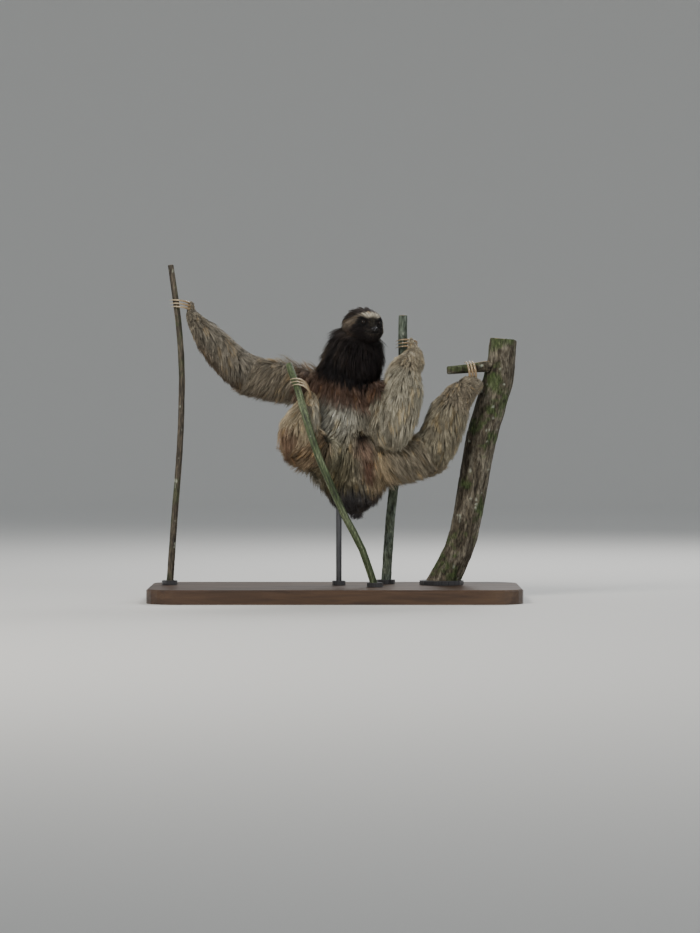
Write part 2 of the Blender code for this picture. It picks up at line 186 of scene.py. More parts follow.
# %% [markdown]
# A material is a net of nodes, and nets are hard to read when they are linked one by one. So one
# small class lets sockets be added and multiplied like numbers, and another adds a node with its
# inputs in a single call.


# %% Helpers for materials
class Wire:
    """A shader socket that can be used in sums, so that a material reads like arithmetic."""

    def __init__(self, paint, socket):
        self.paint = paint
        self.socket = socket

    def _with(self, other, operation, swap=False):
        pair = (other, self) if swap else (self, other)
        return self.paint.node("ShaderNodeMath", {"operation": operation}, {0: pair[0], 1: pair[1]})

    def __add__(self, other):
        return self._with(other, "ADD")

    def __sub__(self, other):
        return self._with(other, "SUBTRACT")

    def __mul__(self, other):
        return self._with(other, "MULTIPLY")

    def __radd__(self, other):
        return self._with(other, "ADD", swap=True)

    def __rsub__(self, other):
        return self._with(other, "SUBTRACT", swap=True)

    def __rmul__(self, other):
        return self._with(other, "MULTIPLY", swap=True)


class Paint:
    """One material and a short way to add nodes to it."""

    def __init__(self, name, roughness=0.5, metallic=0.0, specular=0.5):
        self.material = bpy.data.materials.new(name)
        self.material.use_nodes = True
        self.tree = self.material.node_tree
        self.shader = self.tree.nodes["Principled BSDF"]
        self.shader.inputs["Roughness"].default_value = roughness
        self.shader.inputs["Metallic"].default_value = metallic
        self.shader.inputs["Specular IOR Level"].default_value = specular

    def node(self, kind, settings=None, inputs=None, output=0):
        """Adds a node: its settings first, then its inputs, each a number, a colour or a wire."""
        made = self.tree.nodes.new(kind)
        for key, value in (settings or {}).items():
            if key == "stops":
                self._set_stops(made.color_ramp, value)
            else:
                setattr(made, key, value)
        for key, value in (inputs or {}).items():
            self._plug(made.inputs[key], value)
        return Wire(self, made.outputs[output])

    def _set_stops(self, ramp, stops):
        while len(ramp.elements) > 1:
            ramp.elements.remove(ramp.elements[-1])
        for i, (position, colour) in enumerate(stops):
            element = ramp.elements[0] if i == 0 else ramp.elements.new(position)
            element.position = position
            element.color = (*colour, 1.0)

    def _plug(self, socket, value):
        if isinstance(value, Wire):
            self.tree.links.new(value.socket, socket)
        elif hasattr(value, "__len__") and len(value) == 3 and len(socket.default_value) == 4:
            socket.default_value = (*value, 1.0)
        else:
            socket.default_value = value

    def place(self):
        return self.node("ShaderNodeTexCoord", output="Object")

    def ramp(self, fac, stops):
        return self.node("ShaderNodeValToRGB", {"stops": stops}, {"Fac": fac}, "Color")

    def mix(self, fac, a, b, blend="MIX"):
        """Mixes two colours."""
        made = self.tree.nodes.new("ShaderNodeMix")
        made.data_type = "RGBA"
        made.blend_type = blend
        for socket, value in zip((made.inputs[0], made.inputs[6], made.inputs[7]), (fac, a, b)):
            self._plug(socket, value)
        return Wire(self, made.outputs[2])

    def stretched(self, scale):
        """Object coordinates with each axis scaled."""
        return self.node("ShaderNodeMapping", {}, {"Vector": self.place(), "Scale": scale}, "Vector")

    def noise(self, scale, detail=4.0, roughness=0.55, vector=None, distortion=0.0):
        inputs = {"Vector": vector or self.place(), "Scale": scale, "Detail": detail,
                  "Roughness": roughness, "Distortion": distortion}
        return self.node("ShaderNodeTexNoise", {}, inputs, "Fac")

    def bump(self, height, strength, distance):
        inputs = {"Height": height, "Strength": strength, "Distance": distance}
        self._plug(self.shader.inputs["Normal"], self.node("ShaderNodeBump", {}, inputs, "Normal"))

    def colour(self, value):
        self._plug(self.shader.inputs["Base Color"], value)

    def rough(self, value):
        self._plug(self.shader.inputs["Roughness"], value)

    def gloss(self, weight):
        """A clear wet or varnished layer on top."""
        self.shader.inputs["Coat Weight"].default_value = weight


# %% [markdown]
# The floor is a pale round sheet that curves up far from the stand, so it fades into the backdrop,
# whichever side the sloth is seen from. A flat floor would end in a hard line. Three large lamps and
# a pale sky light the coat softly, and the rim light behind makes its loose tips show.

# %% Floor, backdrop and lights
STAGE_FLAT, STAGE_BEND, STAGE_HEIGHT = 6.8, 4.0, 4.6  # the round sheet's flat part, its bend and its rim
BEND_STEPS, TURN_STEPS = 24, 96
LAMP_TARGET = Vector((0, 0, 0.35))


def make_backdrop():
    """A round sheet that lies under the stand and sweeps up far from it."""
    bm = bmesh.new()
    line = [bm.verts.new((0, 0, 0)), bm.verts.new((0.5 * STAGE_FLAT, 0, 0))]
    for k in range(BEND_STEPS + 1):
        turn = math.pi / 2 * k / BEND_STEPS
        out = STAGE_FLAT + STAGE_BEND * math.sin(turn)
        line.append(bm.verts.new((out, 0, STAGE_BEND * (1 - math.cos(turn)))))
    line.append(bm.verts.new((STAGE_FLAT + STAGE_BEND, 0, STAGE_HEIGHT)))
    edges = [bm.edges.new(pair) for pair in zip(line, line[1:])]
    bmesh.ops.spin(bm, geom=line + edges, cent=(0, 0, 0), axis=(0, 0, 1), angle=2 * math.pi,
                   steps=TURN_STEPS, use_merge=True)
    bmesh.ops.remove_doubles(bm, verts=bm.verts, dist=0.1 * MM)
    bmesh.ops.recalc_face_normals(bm, faces=bm.faces)
    if min(bm.faces, key=lambda f: f.calc_center_median().length).normal.z < 0:
        bmesh.ops.reverse_faces(bm, faces=bm.faces)
    sheet = mesh_object("backdrop", bm)
    sheet.data.shade_smooth()
    paint = Paint("backdrop_paper", roughness=0.9)
    paint.colour((0.74, 0.73, 0.70))
    sheet.data.materials.append(paint.material)


def soft_light(name, place, size, watts, colour=(1, 1, 1), spread=180):
    """A square lamp aimed at the sloth. Its light spreads over an angle, in degrees."""
    lamp = bpy.data.lights.new(name, "AREA")
    lamp.size = size
    lamp.spread = math.radians(spread)
    lamp.energy = watts
    lamp.color = colour
    thing = linked(name, lamp)
    thing.location = place
    thing.rotation_euler = (LAMP_TARGET - Vector(place)).to_track_quat("-Z", "Y").to_euler()


make_backdrop()
soft_light("key_light", (-1.6, -2.4, 2.6), 1.2, 88, (1.0, 0.96, 0.90))
soft_light("fill_light", (4.2, -4.2, 2.4), 3.0, 23, (0.93, 0.97, 1.0), spread=100)
soft_light("rim_light", (0.9, 2.2, 2.4), 1.2, 60)
world = bpy.data.worlds.new("world")
bpy.context.scene.world = world
world.use_nodes = True
world.node_tree.nodes["Background"].inputs["Color"].default_value = (0.80, 0.85, 0.90, 1)
world.node_tree.nodes["Background"].inputs["Strength"].default_value = 0.42
print("stage set")

# %% [markdown]
# The pose comes from the solids. Where two solids meet, the middle of the shared face is the joint
# between them, and the head's own directions come from its eyes and ears. The hair and colour work
# uses both.


# %% Joints and bones
def corners(name):
    """A solid's vertices."""
    return points_of(nodes[name].data)


def middle(name):
    low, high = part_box(name)
    return (low + high) / 2


def meeting(a, b, within=2.5 * MM):
    """The middle of the face where solid a meets solid b."""
    tree = point_tree(corners(b))
    near = [p for p in corners(a) if tree.find(p)[2] < within]
    return Vector(np.mean(near, axis=0))


def claw_root(paw, k=2):
    """Where a claw starts: its end next to the toes."""
    toes = middle(paw)
    claw = corners(f"claw_{paw}_{k}")
    reach = lengths(claw - np.array(toes))
    return Vector(claw[np.argsort(reach)[:6]].mean(axis=0))


def limb_line(parts, root):
    """The joints of a limb from where it leaves the trunk to its claws."""
    line = [meeting(parts[0], root)]
    line += [meeting(a, b) for a, b in zip(parts, parts[1:])]
    return line + [claw_root(parts[-1])]


LIMBS = {
    "arm_right": (["upper_arm_right", "forearm_right", "hand_right"], "chest"),
    "arm_left": (["upper_arm_left", "forearm_left", "hand_left"], "chest"),
    "leg_right": (["thigh_right", "shin_right", "foot_right"], "rump"),
    "leg_left": (["thigh_left", "shin_left", "foot_left"], "rump"),
}
PAWS = {limb: parts[-1] for limb, (parts, root) in LIMBS.items()}
lines = {limb: limb_line(parts, root) for limb, (parts, root) in LIMBS.items()}
for limb, line in lines.items():
    print(limb, [tuple(round(c / MM) for c in joint) for joint in line])

# %% The head's own directions
eye_left, eye_right, nose_pad = middle("eye_left"), middle("eye_right"), middle("nose")
between_eyes = (eye_left + eye_right) / 2
between_ears = (middle("ear_left") + middle("ear_right")) / 2
FACE_X = (eye_left - eye_right).normalized()
FACE_UP = FACE_X.cross(between_ears - between_eyes).normalized()
FACE_OUT = FACE_UP.cross(FACE_X).normalized()
if FACE_OUT.dot(nose_pad - between_ears) < 0:
    FACE_OUT = -FACE_OUT
FACE = np.array([FACE_X, FACE_OUT, FACE_UP])
EYE_APART = (eye_left - eye_right).length / 2
EYE_RADIUS = (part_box("eye_left")[1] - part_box("eye_left")[0]).z / 2


def in_face(points):
    """Points as (to the sloth's left, out of the face, up) from between its eyes, in millimetres."""
    return (np.atleast_2d(points) - np.array(between_eyes)) @ FACE.T / MM


print("face up", tuple(round(c, 2) for c in FACE_UP), "eyes apart", round(EYE_APART / MM, 1))

# %% [markdown]
# A sloth's body under its coat is thin: most of what shows is hair. So the skin is drawn again from
# the flesh solids, smaller by the depth of the coat. Moving each point in by that depth would fold
# thin places, such as a wrist, through themselves. So the trunk and limbs are sleeves: rays from the
# bones measure each section of a solid, the coat's depth comes off, and the sections are skinned as a
# tube. The head is its own solid, drawn in a little. A remesh makes all of them one closed skin, with
# no seam where the parts meet.

# %% Skin: a line through the bones
FLESH = ["head", "ear_left", "ear_right", "neck", "chest", "belly", "rump", "tail"]
for parts, root in LIMBS.values():
    FLESH += parts


def smooth_line(joints, step):
    """Points about one step apart on a smooth curve through the joints, and their places, in joints."""
    joints = [np.array(j) for j in joints]
    ends = [2 * joints[0] - joints[1]] + joints + [2 * joints[-1] - joints[-2]]
    line, at = [], []
    for i in range(len(joints) - 1):
        a, b, c, d = ends[i:i + 4]
        count = max(2, round(np.linalg.norm(c - b) / step))
        for k in range(count + (i == len(joints) - 2)):
            t = k / count
            line.append(0.5 * (2 * b + (c - a) * t + (2 * a - 5 * b + 4 * c - d) * t * t
                               + (3 * b - a - 3 * c + d) * t ** 3))
            at.append(i + t)
    return np.array(line), np.array(at)


# %% Skin: sleeves round the bones
RAYS = 20
RAY_REACH = 0.09
RAY_LEAST, RAY_MOST = 0.7, 1.3  # how far one ray may differ from the usual one of its section
CAPS = [(0, -0.75, 0.5), (0, -0.45, 0.85)], [(-1, 0.45, 0.85), (-1, 0.75, 0.5)]  # row, how far out, size


def section(tree, centre, along):
    """The distances from a bone to the solid's surface, all round."""
    side = unit(np.cross(along, (0.3, 1.0, 0.2)))
    other = np.cross(along, side)
    turns = np.arange(RAYS) * 2 * math.pi / RAYS
    ways = np.cos(turns)[:, None] * side + np.sin(turns)[:, None] * other
    found = []
    for way in ways:
        hit = tree.ray_cast(Vector(centre), Vector(way), RAY_REACH)
        found.append(hit[3] if hit[0] is not None else np.nan)
    found = np.array(found)
    usual = np.nanmedian(found) if np.isfinite(found).any() else 20 * MM
    found = np.clip(np.nan_to_num(found, nan=usual), RAY_LEAST * usual, RAY_MOST * usual)
    return ways, found


def sleeve(name, tree, joints, depth, least, step=9 * MM):
    """A tube inside some solids, as deep under their surface as the coat is long."""
    line, at = smooth_line(joints, step)
    along = unit(np.gradient(line, axis=0))
    ways, reach = zip(*[section(tree, p, t) for p, t in zip(line, along)])
    ways, reach = np.array(ways), np.array(reach)
    middles = line + (ways * reach[:, :, None]).mean(axis=1)
    knots = np.arange(len(depth))
    radius = reach - np.interp(at, knots, depth)[:, None] * MM
    radius = np.maximum(radius, np.interp(at, knots, least)[:, None] * MM)
    for _ in range(6):
        radius[1:-1] = (radius[:-2] + 2 * radius[1:-1] + radius[2:]) / 4
        middles[1:-1] = (middles[:-2] + 2 * middles[1:-1] + middles[2:]) / 4
        radius = (np.roll(radius, 1, axis=1) + 2 * radius + np.roll(radius, -1, axis=1)) / 4
    bm = bmesh.new()
    rings = []
    rows = [(k, 0.0, 1.0) for k in range(len(line))]
    for k, out, shrink in CAPS[0] + rows + CAPS[1]:
        centre = middles[k] + along[k] * radius[k].mean() * out
        rings.append([bm.verts.new(centre + w * r * shrink) for w, r in zip(ways[k], radius[k])])
    for low, high in zip(rings, rings[1:]):
        for k in range(RAYS):
            bm.faces.new((low[k - 1], low[k], high[k], high[k - 1]))
    bm.faces.new(rings[0])
    bm.faces.new(list(reversed(rings[-1])))
    bmesh.ops.recalc_face_normals(bm, faces=bm.faces)
    return mesh_object(name, bm)


# %% Skin: closing, joining and smoothing
def remeshed(thing, voxel, rounds):
    """One closed surface round all that the mesh holds, smoothed a little."""
    skin = thing.modifiers.new("skin", "REMESH")
    skin.mode = "VOXEL"
    skin.voxel_size = voxel
    soften = thing.modifiers.new("soften", "SMOOTH")
    soften.factor = 0.5
    soften.iterations = rounds
    return applied(thing)


def remade(name, solids, voxel, rounds):
    """Some solids as one closed surface, smoothed a little."""
    bm = bmesh.new()
    for solid in solids:
        bm.from_mesh(nodes[solid].data)
    return remeshed(mesh_object(name, bm), voxel, rounds)


def joined(name, things):
    """Several objects as one."""
    bm = bmesh.new()
    for thing in things:
        bm.from_mesh(thing.data)
        bpy.data.objects.remove(thing)
    return mesh_object(name, bm)


def rod(a, b, radius):
    """A bar with round ends."""
    bm = bmesh.new()
    bmesh.ops.create_uvsphere(bm, u_segments=20, v_segments=10, radius=radius)
    along = b - a
    for vert in bm.verts:
        vert.co.z += along.length * (vert.co.z > 0)
    return placed("bar", bm, a, along.to_track_quat("Z", "Y").to_matrix())


def spread(mesh, values, rounds, free=1.0, after=0.0):
    """Smooths a value or vector per vertex along the mesh's edges, as far as free says at each vertex.
    With after, a round of that strength follows each one: a negative one keeps a shape from shrinking."""
    values = np.array(values, dtype=float)
    columns = values.reshape(len(values), -1).T.copy()
    a, b = read(mesh.edges, "vertices", 2, np.int64).T
    size = len(values)
    count = np.maximum(np.bincount(a, minlength=size) + np.bincount(b, minlength=size), 1)
    for strength in [0.5, after] * rounds if after else [0.5] * rounds:
        for column in columns:
            total = np.bincount(a, column[b], size) + np.bincount(b, column[a], size)
            column += strength * free * (total / count - column)
    return columns.T.reshape(values.shape)


def soft_normals(mesh, rounds):
    """Which way is out at each vertex, evened over its neighbours."""
    return unit(spread(mesh, normals_of(mesh), rounds))


# %% Skin: the head and the trunk
FACE_COAT, NAPE_COAT = 1.6, 9.0  # how far the head's skin is drawn in, in millimetres


def make_head_skin():
    """The head, drawn in a little on the face and more towards the nape."""
    body = remade("head_skin", ("head", "ear_left", "ear_right", "eye_left", "eye_right"), 2.0 * MM, 6)
    mesh = body.data
    behind = ease(lengths(in_face(points_of(mesh)) - (0, 4, -8)), 24, 66)
    depth = spread(mesh, FACE_COAT + (NAPE_COAT - FACE_COAT) * behind, 10) * MM
    set_points(mesh, points_of(mesh) - soft_normals(mesh, 8) * depth[:, None])
    return body


def keep_largest(thing):
    """Drops loose bits, so that one closed surface is left, and says how many bodies there were."""
    bm = bmesh.new()
    bm.from_mesh(thing.data)
    left, bodies = set(bm.verts), []
    while left:
        front = [left.pop()]
        body = set(front)
        while front:
            front = [e.other_vert(v) for v in front for e in v.link_edges]
            front = [v for v in set(front) if v not in body]
            body.update(front)
        left -= body
        bodies.append(body)
    keep = max(bodies, key=len)
    bmesh.ops.delete(bm, geom=[v for v in bm.verts if v not in keep], context="VERTS")
    bm.to_mesh(thing.data)
    bm.free()
    return len(bodies)


def fused(name, solids, voxel):
    """Some solids as one closed surface, with no walls inside."""
    thing = remade(name, solids, voxel, 3)
    keep_largest(thing)
    return thing


TRUNK_JOINTS = 8


def trunk_line():
    """The middle of the trunk from the rump to the inside of the head."""
    low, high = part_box("rump")[0].z + 34 * MM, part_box("head")[0].z - 16 * MM
    flesh = np.vstack([corners(n) for n in ("neck", "chest", "belly", "rump")])
    joints = []
    for z in np.linspace(low, high, TRUNK_JOINTS):
        near = flesh[np.abs(flesh[:, 2] - z) < 20 * MM]
        ends = (near.min(axis=0) + near.max(axis=0)) / 2
        joints.append((ends[0], ends[1], z))
    return joints + [meeting("head", "neck"), middle("head")]


# %% Skin: all its parts
SLEEVES = {  # coat depth and least radius from the shoulder or hip to the paw and the toes, in millimetres
    "arm_right": ((16, 16, 15, 9, 7, 5), (24, 24, 22, 12, 10, 6)),
    "arm_left": ((16, 16, 15, 12, 8, 6), (24, 24, 22, 19, 14, 8)),
    "leg_right": ((16, 16, 14, 11, 7, 5), (26, 26, 31, 21, 14, 8)),
    "leg_left": ((16, 16, 15, 12, 8, 6), (26, 26, 28, 20, 14, 8)),
}
TRUNK_SLEEVE = (16,) * TRUNK_JOINTS + (23, 36), (20,) * TRUNK_JOINTS + (26, 24)  # then neck and head
TOES_START = 0.55  # where the toes leave the paw, between its middle and the claws
pieces = [make_head_skin(), rod(middle("head"), nose_pad - FACE_OUT * 6 * MM, 5.5 * MM)]
for limb, (depth, least) in SLEEVES.items():
    paw = Vector(corners(PAWS[limb]).mean(axis=0))
    toes = paw.lerp(lines[limb][-1], TOES_START)
    joints = [middle(LIMBS[limb][1]).lerp(lines[limb][0], 0.45)] + lines[limb][:-1] + [paw, toes]
    tree = surface_tree([nodes[name].data for name in LIMBS[limb][0]])
    pieces.append(sleeve(limb, tree, joints, depth, least))
    for k in (1, 2, 3):
        pieces.append(rod(paw.lerp(toes, 0.5), claw_root(PAWS[limb], k), 6 * MM))
trunk = fused("trunk", ("head", "neck", "chest", "belly", "rump"), 4 * MM)
pieces.append(sleeve("trunk_skin", surface_tree([trunk.data]), trunk_line(), *TRUNK_SLEEVE))
bpy.data.objects.remove(trunk)
tail_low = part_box("tail")[0]
pieces.append(rod(middle("rump"), Vector((*middle("tail").xy, tail_low.z + 16 * MM)), 9 * MM))
print("parts of the skin:", len(pieces))

# %% Skin: one closed surface
skin = remeshed(joined("skin", pieces), 2.8 * MM, 6)
bodies = keep_largest(skin)
print("skin bodies:", bodies, "vertices:", len(skin.data.vertices))

# %% [markdown]
# The face is what people look at first. The skin is made four times finer there and then worked like
# clay: an almond opening with thick lids over each eye, and a mouth line that turns up at its ends,
# which gives every sloth its smile. It is worked out with formulas, as a sculpt by hand couldn't be
# repeated.

# %% Face: its measures
GAZE_OUTWARD = 0.42
EYE_SUNK = 4.6 * MM  # skin is thinner than the coated solid, so eyes and nose sit back with it
NOSE_SUNK = 3.6 * MM
MOUTH_LOW, MOUTH_CURVE, MOUTH_HALF = -23.5, 0.022, 10  # height, curve and half width, in millimetres
OPENING = (math.radians(46), math.radians(34))  # half the opening's width and height, seen from the eye


def finer(mesh, chosen, cuts):
    """Cuts up the mesh's edges where all their ends are chosen."""
    bm = bmesh.new()
    bm.from_mesh(mesh)
    bm.verts.ensure_lookup_table()
    edges = [e for e in bm.edges if chosen[e.verts[0].index] and chosen[e.verts[1].index]]
    bmesh.ops.subdivide_edges(bm, edges=edges, cuts=cuts, use_grid_fill=True)
    bmesh.ops.triangulate(bm, faces=bm.faces)
    bm.to_mesh(mesh)
    bm.free()


def gaze(side):
    """Which way an eye looks: out of the face and a little to its own side."""
    return (FACE_OUT + FACE_X * side * GAZE_OUTWARD).normalized()


def opening(points, side):
    """How far points lie from the middle of an eye's opening: 1 is on its rim, as seen from the eye."""
    centre = EYES[side]
    ahead = np.array(gaze(side))
    across = unit(np.cross(ahead, np.array(FACE_UP)))
    rise = np.cross(across, ahead)
    off = points - np.array(centre)
    turn = np.arctan2(off @ across, off @ ahead) / OPENING[0]
    lift = np.arctan2(off @ rise, off @ ahead) / OPENING[1]
    return np.hypot(turn, lift), off


# %% Face: lids and mouth
def sculpt_lids(points):
    """Opens the skin over each eye and raises lids round the opening."""
    for side in (1, -1):
        wide, off = opening(points, side)
        reach = lengths(off)
        near = 1 - ease(reach, EYE_RADIUS + 3.5 * MM, EYE_RADIUS + 8 * MM)
        lid = EYE_RADIUS + 1.0 * MM
        inside = EYE_RADIUS - 1.6 * MM
        wanted = inside + (lid - inside) * ease(wide, 0.86, 1.06)
        wanted = mixed(wanted, np.maximum(reach, EYE_RADIUS + 0.4 * MM), ease(wide, 1.25, 2.3))
        wanted -= 0.5 * MM * dent(wide - 1.75, 0.13)
        radius = reach + (wanted - reach) * near
        points = points + off * (radius / np.maximum(reach, 1e-9) - 1)[:, None]
    return points


def over_mouth(face):
    """How far points on the face are over the mouth line, in millimetres."""
    return face[:, 2] - (MOUTH_LOW + MOUTH_CURVE * face[:, 0] ** 2)


def on_muzzle(face, half):
    """1 on the front of the muzzle, up to half its width from the middle, and 0 a little further out."""
    return (1 - ease(np.abs(face[:, 0]), half, half + 6)) * ease(face[:, 1], -14, -4)


def sculpt_mouth(points, normals):
    """Draws the mouth line into the muzzle, with soft lips over and under it."""
    face = in_face(points)
    off = over_mouth(face)
    raised = 0.5 * dent(np.abs(off) - 2.2, 1.3) - 1.3 * dent(off, 0.8)
    return points + normals * (raised * on_muzzle(face, MOUTH_HALF) * MM)[:, None]


# %% Face: worked into the skin
def from_place(centre):
    """How far the skin's vertices are from a place on the face, given as in_face gives it."""
    return lengths(in_face(points_of(skin.data)) - centre)


def evened(mesh, free, rounds):
    """Takes the steps out of the skin without shrinking it."""
    set_points(mesh, spread(mesh, points_of(mesh), rounds, free, after=-0.52))


MID_FACE = (0, 0, -8)
finer(skin.data, from_place(MID_FACE) < 34, 3)
evened(skin.data, 1 - ease(from_place(MID_FACE), 28, 40), 24)
EYES = {side: (eye_left if side > 0 else eye_right) - gaze(side) * EYE_SUNK for side in (1, -1)}
NOSE_CENTRE = nose_pad - FACE_OUT * NOSE_SUNK
for side in (1, -1):
    finer(skin.data, from_place(in_face(EYES[side])[0]) < 10.5, 1)
shaped = sculpt_mouth(points_of(skin.data), normals_of(skin.data))
set_points(skin.data, sculpt_lids(shaped))
evened(skin.data, 0.6 * (1 - ease(from_place(MID_FACE), 28, 38)), 2)
print("skin vertices:", len(skin.data.vertices), "triangles:", len(skin.data.polygons))


# %% [markdown]
# A sloth's eyes are small, dark and wet, and its nose is a bare pad with two nostrils. Painted on the
# skin they would look flat, so they are round pieces of their own, which catch the light, set into
# the skin.


# %% Eyes and nose
def set_tone(thing, colours):
    """Stores a colour at each vertex, which the materials read."""
    layer = thing.data.attributes.new("tone", "FLOAT_COLOR", "POINT")
    rows = np.ones((len(colours), 4), dtype=np.float32)
    rows[:, :3] = np.clip(colours, 0, 1)
    layer.data.foreach_set("color", rows.ravel())


EYE_RIM, IRIS, PUPIL = (0.006, 0.004, 0.003), (0.024, 0.011, 0.005), (0.001, 0.001, 0.001)
IRIS_EDGE, PUPIL_EDGE = math.cos(math.radians(50)), math.cos(math.radians(27))
CORNEA_EDGE, CORNEA_BULGE = 0.75, 0.05
NOSE_SIZE = (7.4, 5.2, 5.4)  # half its width, its depth and half its height, in millimetres
NOSTRIL_PLACE, NOSTRIL_SIZE, NOSTRIL_DEPTH = (3.1, -1.2), (1.5, 1.25), 2.6


def make_eye(side):
    """A wet, dark brown eyeball whose pole looks where the sloth looks."""
    name = "left" if side > 0 else "right"
    centre = EYES[side]
    bm = bmesh.new()
    bmesh.ops.create_uvsphere(bm, u_segments=48, v_segments=32, radius=EYE_RADIUS)
    for vert in bm.verts:
        ahead = vert.co.z / EYE_RADIUS
        vert.co *= 1 + CORNEA_BULGE * max(0.0, ahead - CORNEA_EDGE) / (1 - CORNEA_EDGE)
    ball = placed(f"eyeball_{name}", bm, centre, gaze(side).to_track_quat("Z", "Y").to_matrix())
    ball.data.shade_smooth()
    points = points_of(ball.data)
    ahead = unit(points - np.array(centre)) @ np.array(gaze(side))
    tone = np.full((len(points), 3), EYE_RIM)
    tone[ahead > IRIS_EDGE] = IRIS
    tone[ahead > PUPIL_EDGE] = PUPIL
    set_tone(ball, tone)
    return ball


def make_nose():
    """The bare nose pad, with two nostrils that open forwards and down."""
    bm = bmesh.new()
    bmesh.ops.create_uvsphere(bm, u_segments=64, v_segments=40, radius=1.0)
    wide, deep, tall = NOSE_SIZE
    for vert in bm.verts:
        x, out, up = vert.co.x * wide, vert.co.y * deep, vert.co.z * (tall - 0.9 * abs(vert.co.x))
        for side in (1, -1):
            across = (x - side * NOSTRIL_PLACE[0]) / NOSTRIL_SIZE[0]
            over = (up - NOSTRIL_PLACE[1]) / NOSTRIL_SIZE[1]
            out -= NOSTRIL_DEPTH * math.exp(-(across ** 2 + over ** 2)) * (out > 0)
        out -= 0.5 * math.exp(-(x / 0.7) ** 2) * (out > 0)
        vert.co = (x * MM, out * MM, up * MM)
    pad = placed("nose_pad", bm, NOSE_CENTRE, Matrix((FACE_X, FACE_OUT, FACE_UP)).transposed())
    pad.data.shade_smooth()
    return pad


eyeballs = {side: make_eye(side) for side in (1, -1)}
nose_pad_piece = make_nose()

# %% [markdown]
# Each foot ends in three long claws of horn. On a real sloth they are as long as the foot and always
# hooked, so the animal hangs without effort. The solids' own claws already hook round the stems at
# the right places, so they are kept and made round and smooth, with fine grain, a dark root and a
# pale tip.


# %% Helpers for colours and noise
def soft_noise(points, size, seed=0):
    """Smooth noise from -1 to 1 at each point, in lumps of this size in metres, or one size per axis."""
    scaled = np.asarray(points) / size + 31.7 * seed
    cell = np.floor(scaled).astype(np.int64)
    t = scaled - cell
    t = t * t * (3 - 2 * t)
    total = np.zeros(len(scaled))
    for step in itertools.product((0, 1), repeat=3):
        c = cell + step
        h = (c[:, 0] * 73856093) ^ (c[:, 1] * 19349663) ^ (c[:, 2] * 83492791) ^ (seed * 40503)
        h = (h ^ (h >> 13)) * 1274126177
        value = ((h ^ (h >> 16)) & 0xFFFF) / 32767.5 - 1
        total += value * np.prod(np.where(step, t, 1 - t), axis=1)
    return total


def blend(colours, tint, weight):
    """Colours moved towards a tint, by a weight at each point."""
    return colours + (np.asarray(tint) - colours) * np.asarray(weight)[:, None]


def painted(colours, *coats):
    """Colours with thin coats of paint over them: each a tint and its weight at each point."""
    for tint, weight in coats:
        colours = blend(colours, tint, weight)
    return colours


# %% Claws
def make_claw(paw, k):
    """One claw: smooth horn, pale at the tip and dark at the root."""
    claw = remade(f"horn_{paw}_{k}", [f"claw_{paw}_{k}"], 0.8 * MM, 16)
    points, normals = points_of(claw.data), normals_of(claw.data)
    root = np.array(claw_root(paw, k))
    far = lengths(points - root)
    along = far / far.max()
    grain = soft_noise(points, 1.3 * MM, 3 + k) + soft_noise(points, 5 * MM, 7)
    set_points(claw.data, points + normals * (0.05 * MM * grain)[:, None])
    streak = soft_noise(points, (2 * MM, 2 * MM, 6 * MM), 11)
    set_tone(claw, painted(
        np.full((len(points), 3), (0.30, 0.21, 0.115)),
        ((0.50, 0.41, 0.27), ease(along, 0.35, 0.95)),
        ((0.10, 0.06, 0.03), 1 - ease(along, 0.0, 0.25)),
        ((0.16, 0.10, 0.05), 0.5 * ease(streak, 0.0, 0.8))))
    claw.data.shade_smooth()
    return claw


claws = {(paw, k): make_claw(paw, k) for paw in PAWS.values() for k in (1, 2, 3)}
print("claws:", len(claws), "triangles each about", len(claws["hand_left", 2].data.polygons) * 2)

# %% [markdown]
# A sloth's hair is long and coarse. On its limbs it runs from the wrist and the ankle towards the
# body, as the animal spends its life upside down. Every point of the skin is told which part it
# belongs to, how long, deep, wide and dense its hair is and which way it lies. These values are kept
# at the points, rather than in pictures wrapped round the skin, because there they can be spread from
# point to point, and no border shows where two parts meet.

# %% Coat: parts of the skin
skin_points = points_of(skin.data)
skin_normals = soft_normals(skin.data, 6)
face = in_face(skin_points)
DOWN = np.array([0.0, 0.0, -1.0])


def parts_at(points):
    """Which flesh solid is nearest to each point, as a number in FLESH."""
    whole = surface_tree([nodes[name].data for name in FLESH])
    ends = np.cumsum([len(nodes[name].data.loop_triangles) for name in FLESH])
    return np.searchsorted(ends, [whole.find_nearest(p)[2] for p in points], side="right")


part = parts_at(skin_points)
is_part = {name: part == i for i, name in enumerate(FLESH)}


def level(values):
    """One number for each flesh part, spread softly over the skin."""
    return spread(skin.data, np.array([values[name] for name in FLESH], dtype=float)[part], 14)


ROOM_REACH, ROOM_UNKNOWN = 80 * MM, 20 * MM


def room_for_coat():
    """How far the coat's outer surface is above the skin."""
    hull = fused("coat_hull", FLESH, 5 * MM)
    tree = surface_tree([hull.data])
    bpy.data.objects.remove(hull)
    outward = zip(skin_points, skin_normals)
    far = [tree.ray_cast(Vector(p + n * MM), Vector(n), ROOM_REACH)[3] for p, n in outward]
    return np.array([ROOM_UNKNOWN if d is None else d + MM for d in far])


front = ease(-skin_normals[:, 1], -0.35, 0.35)


def near_place(x, z, radius):
    """1 at a place on the sloth's front, in millimetres across and up, and 0 a radius away from it."""
    far = lengths(skin_points[:, (0, 2)] / MM - (x, z))
    return front * (1 - ease(far, 0.35 * radius, radius))


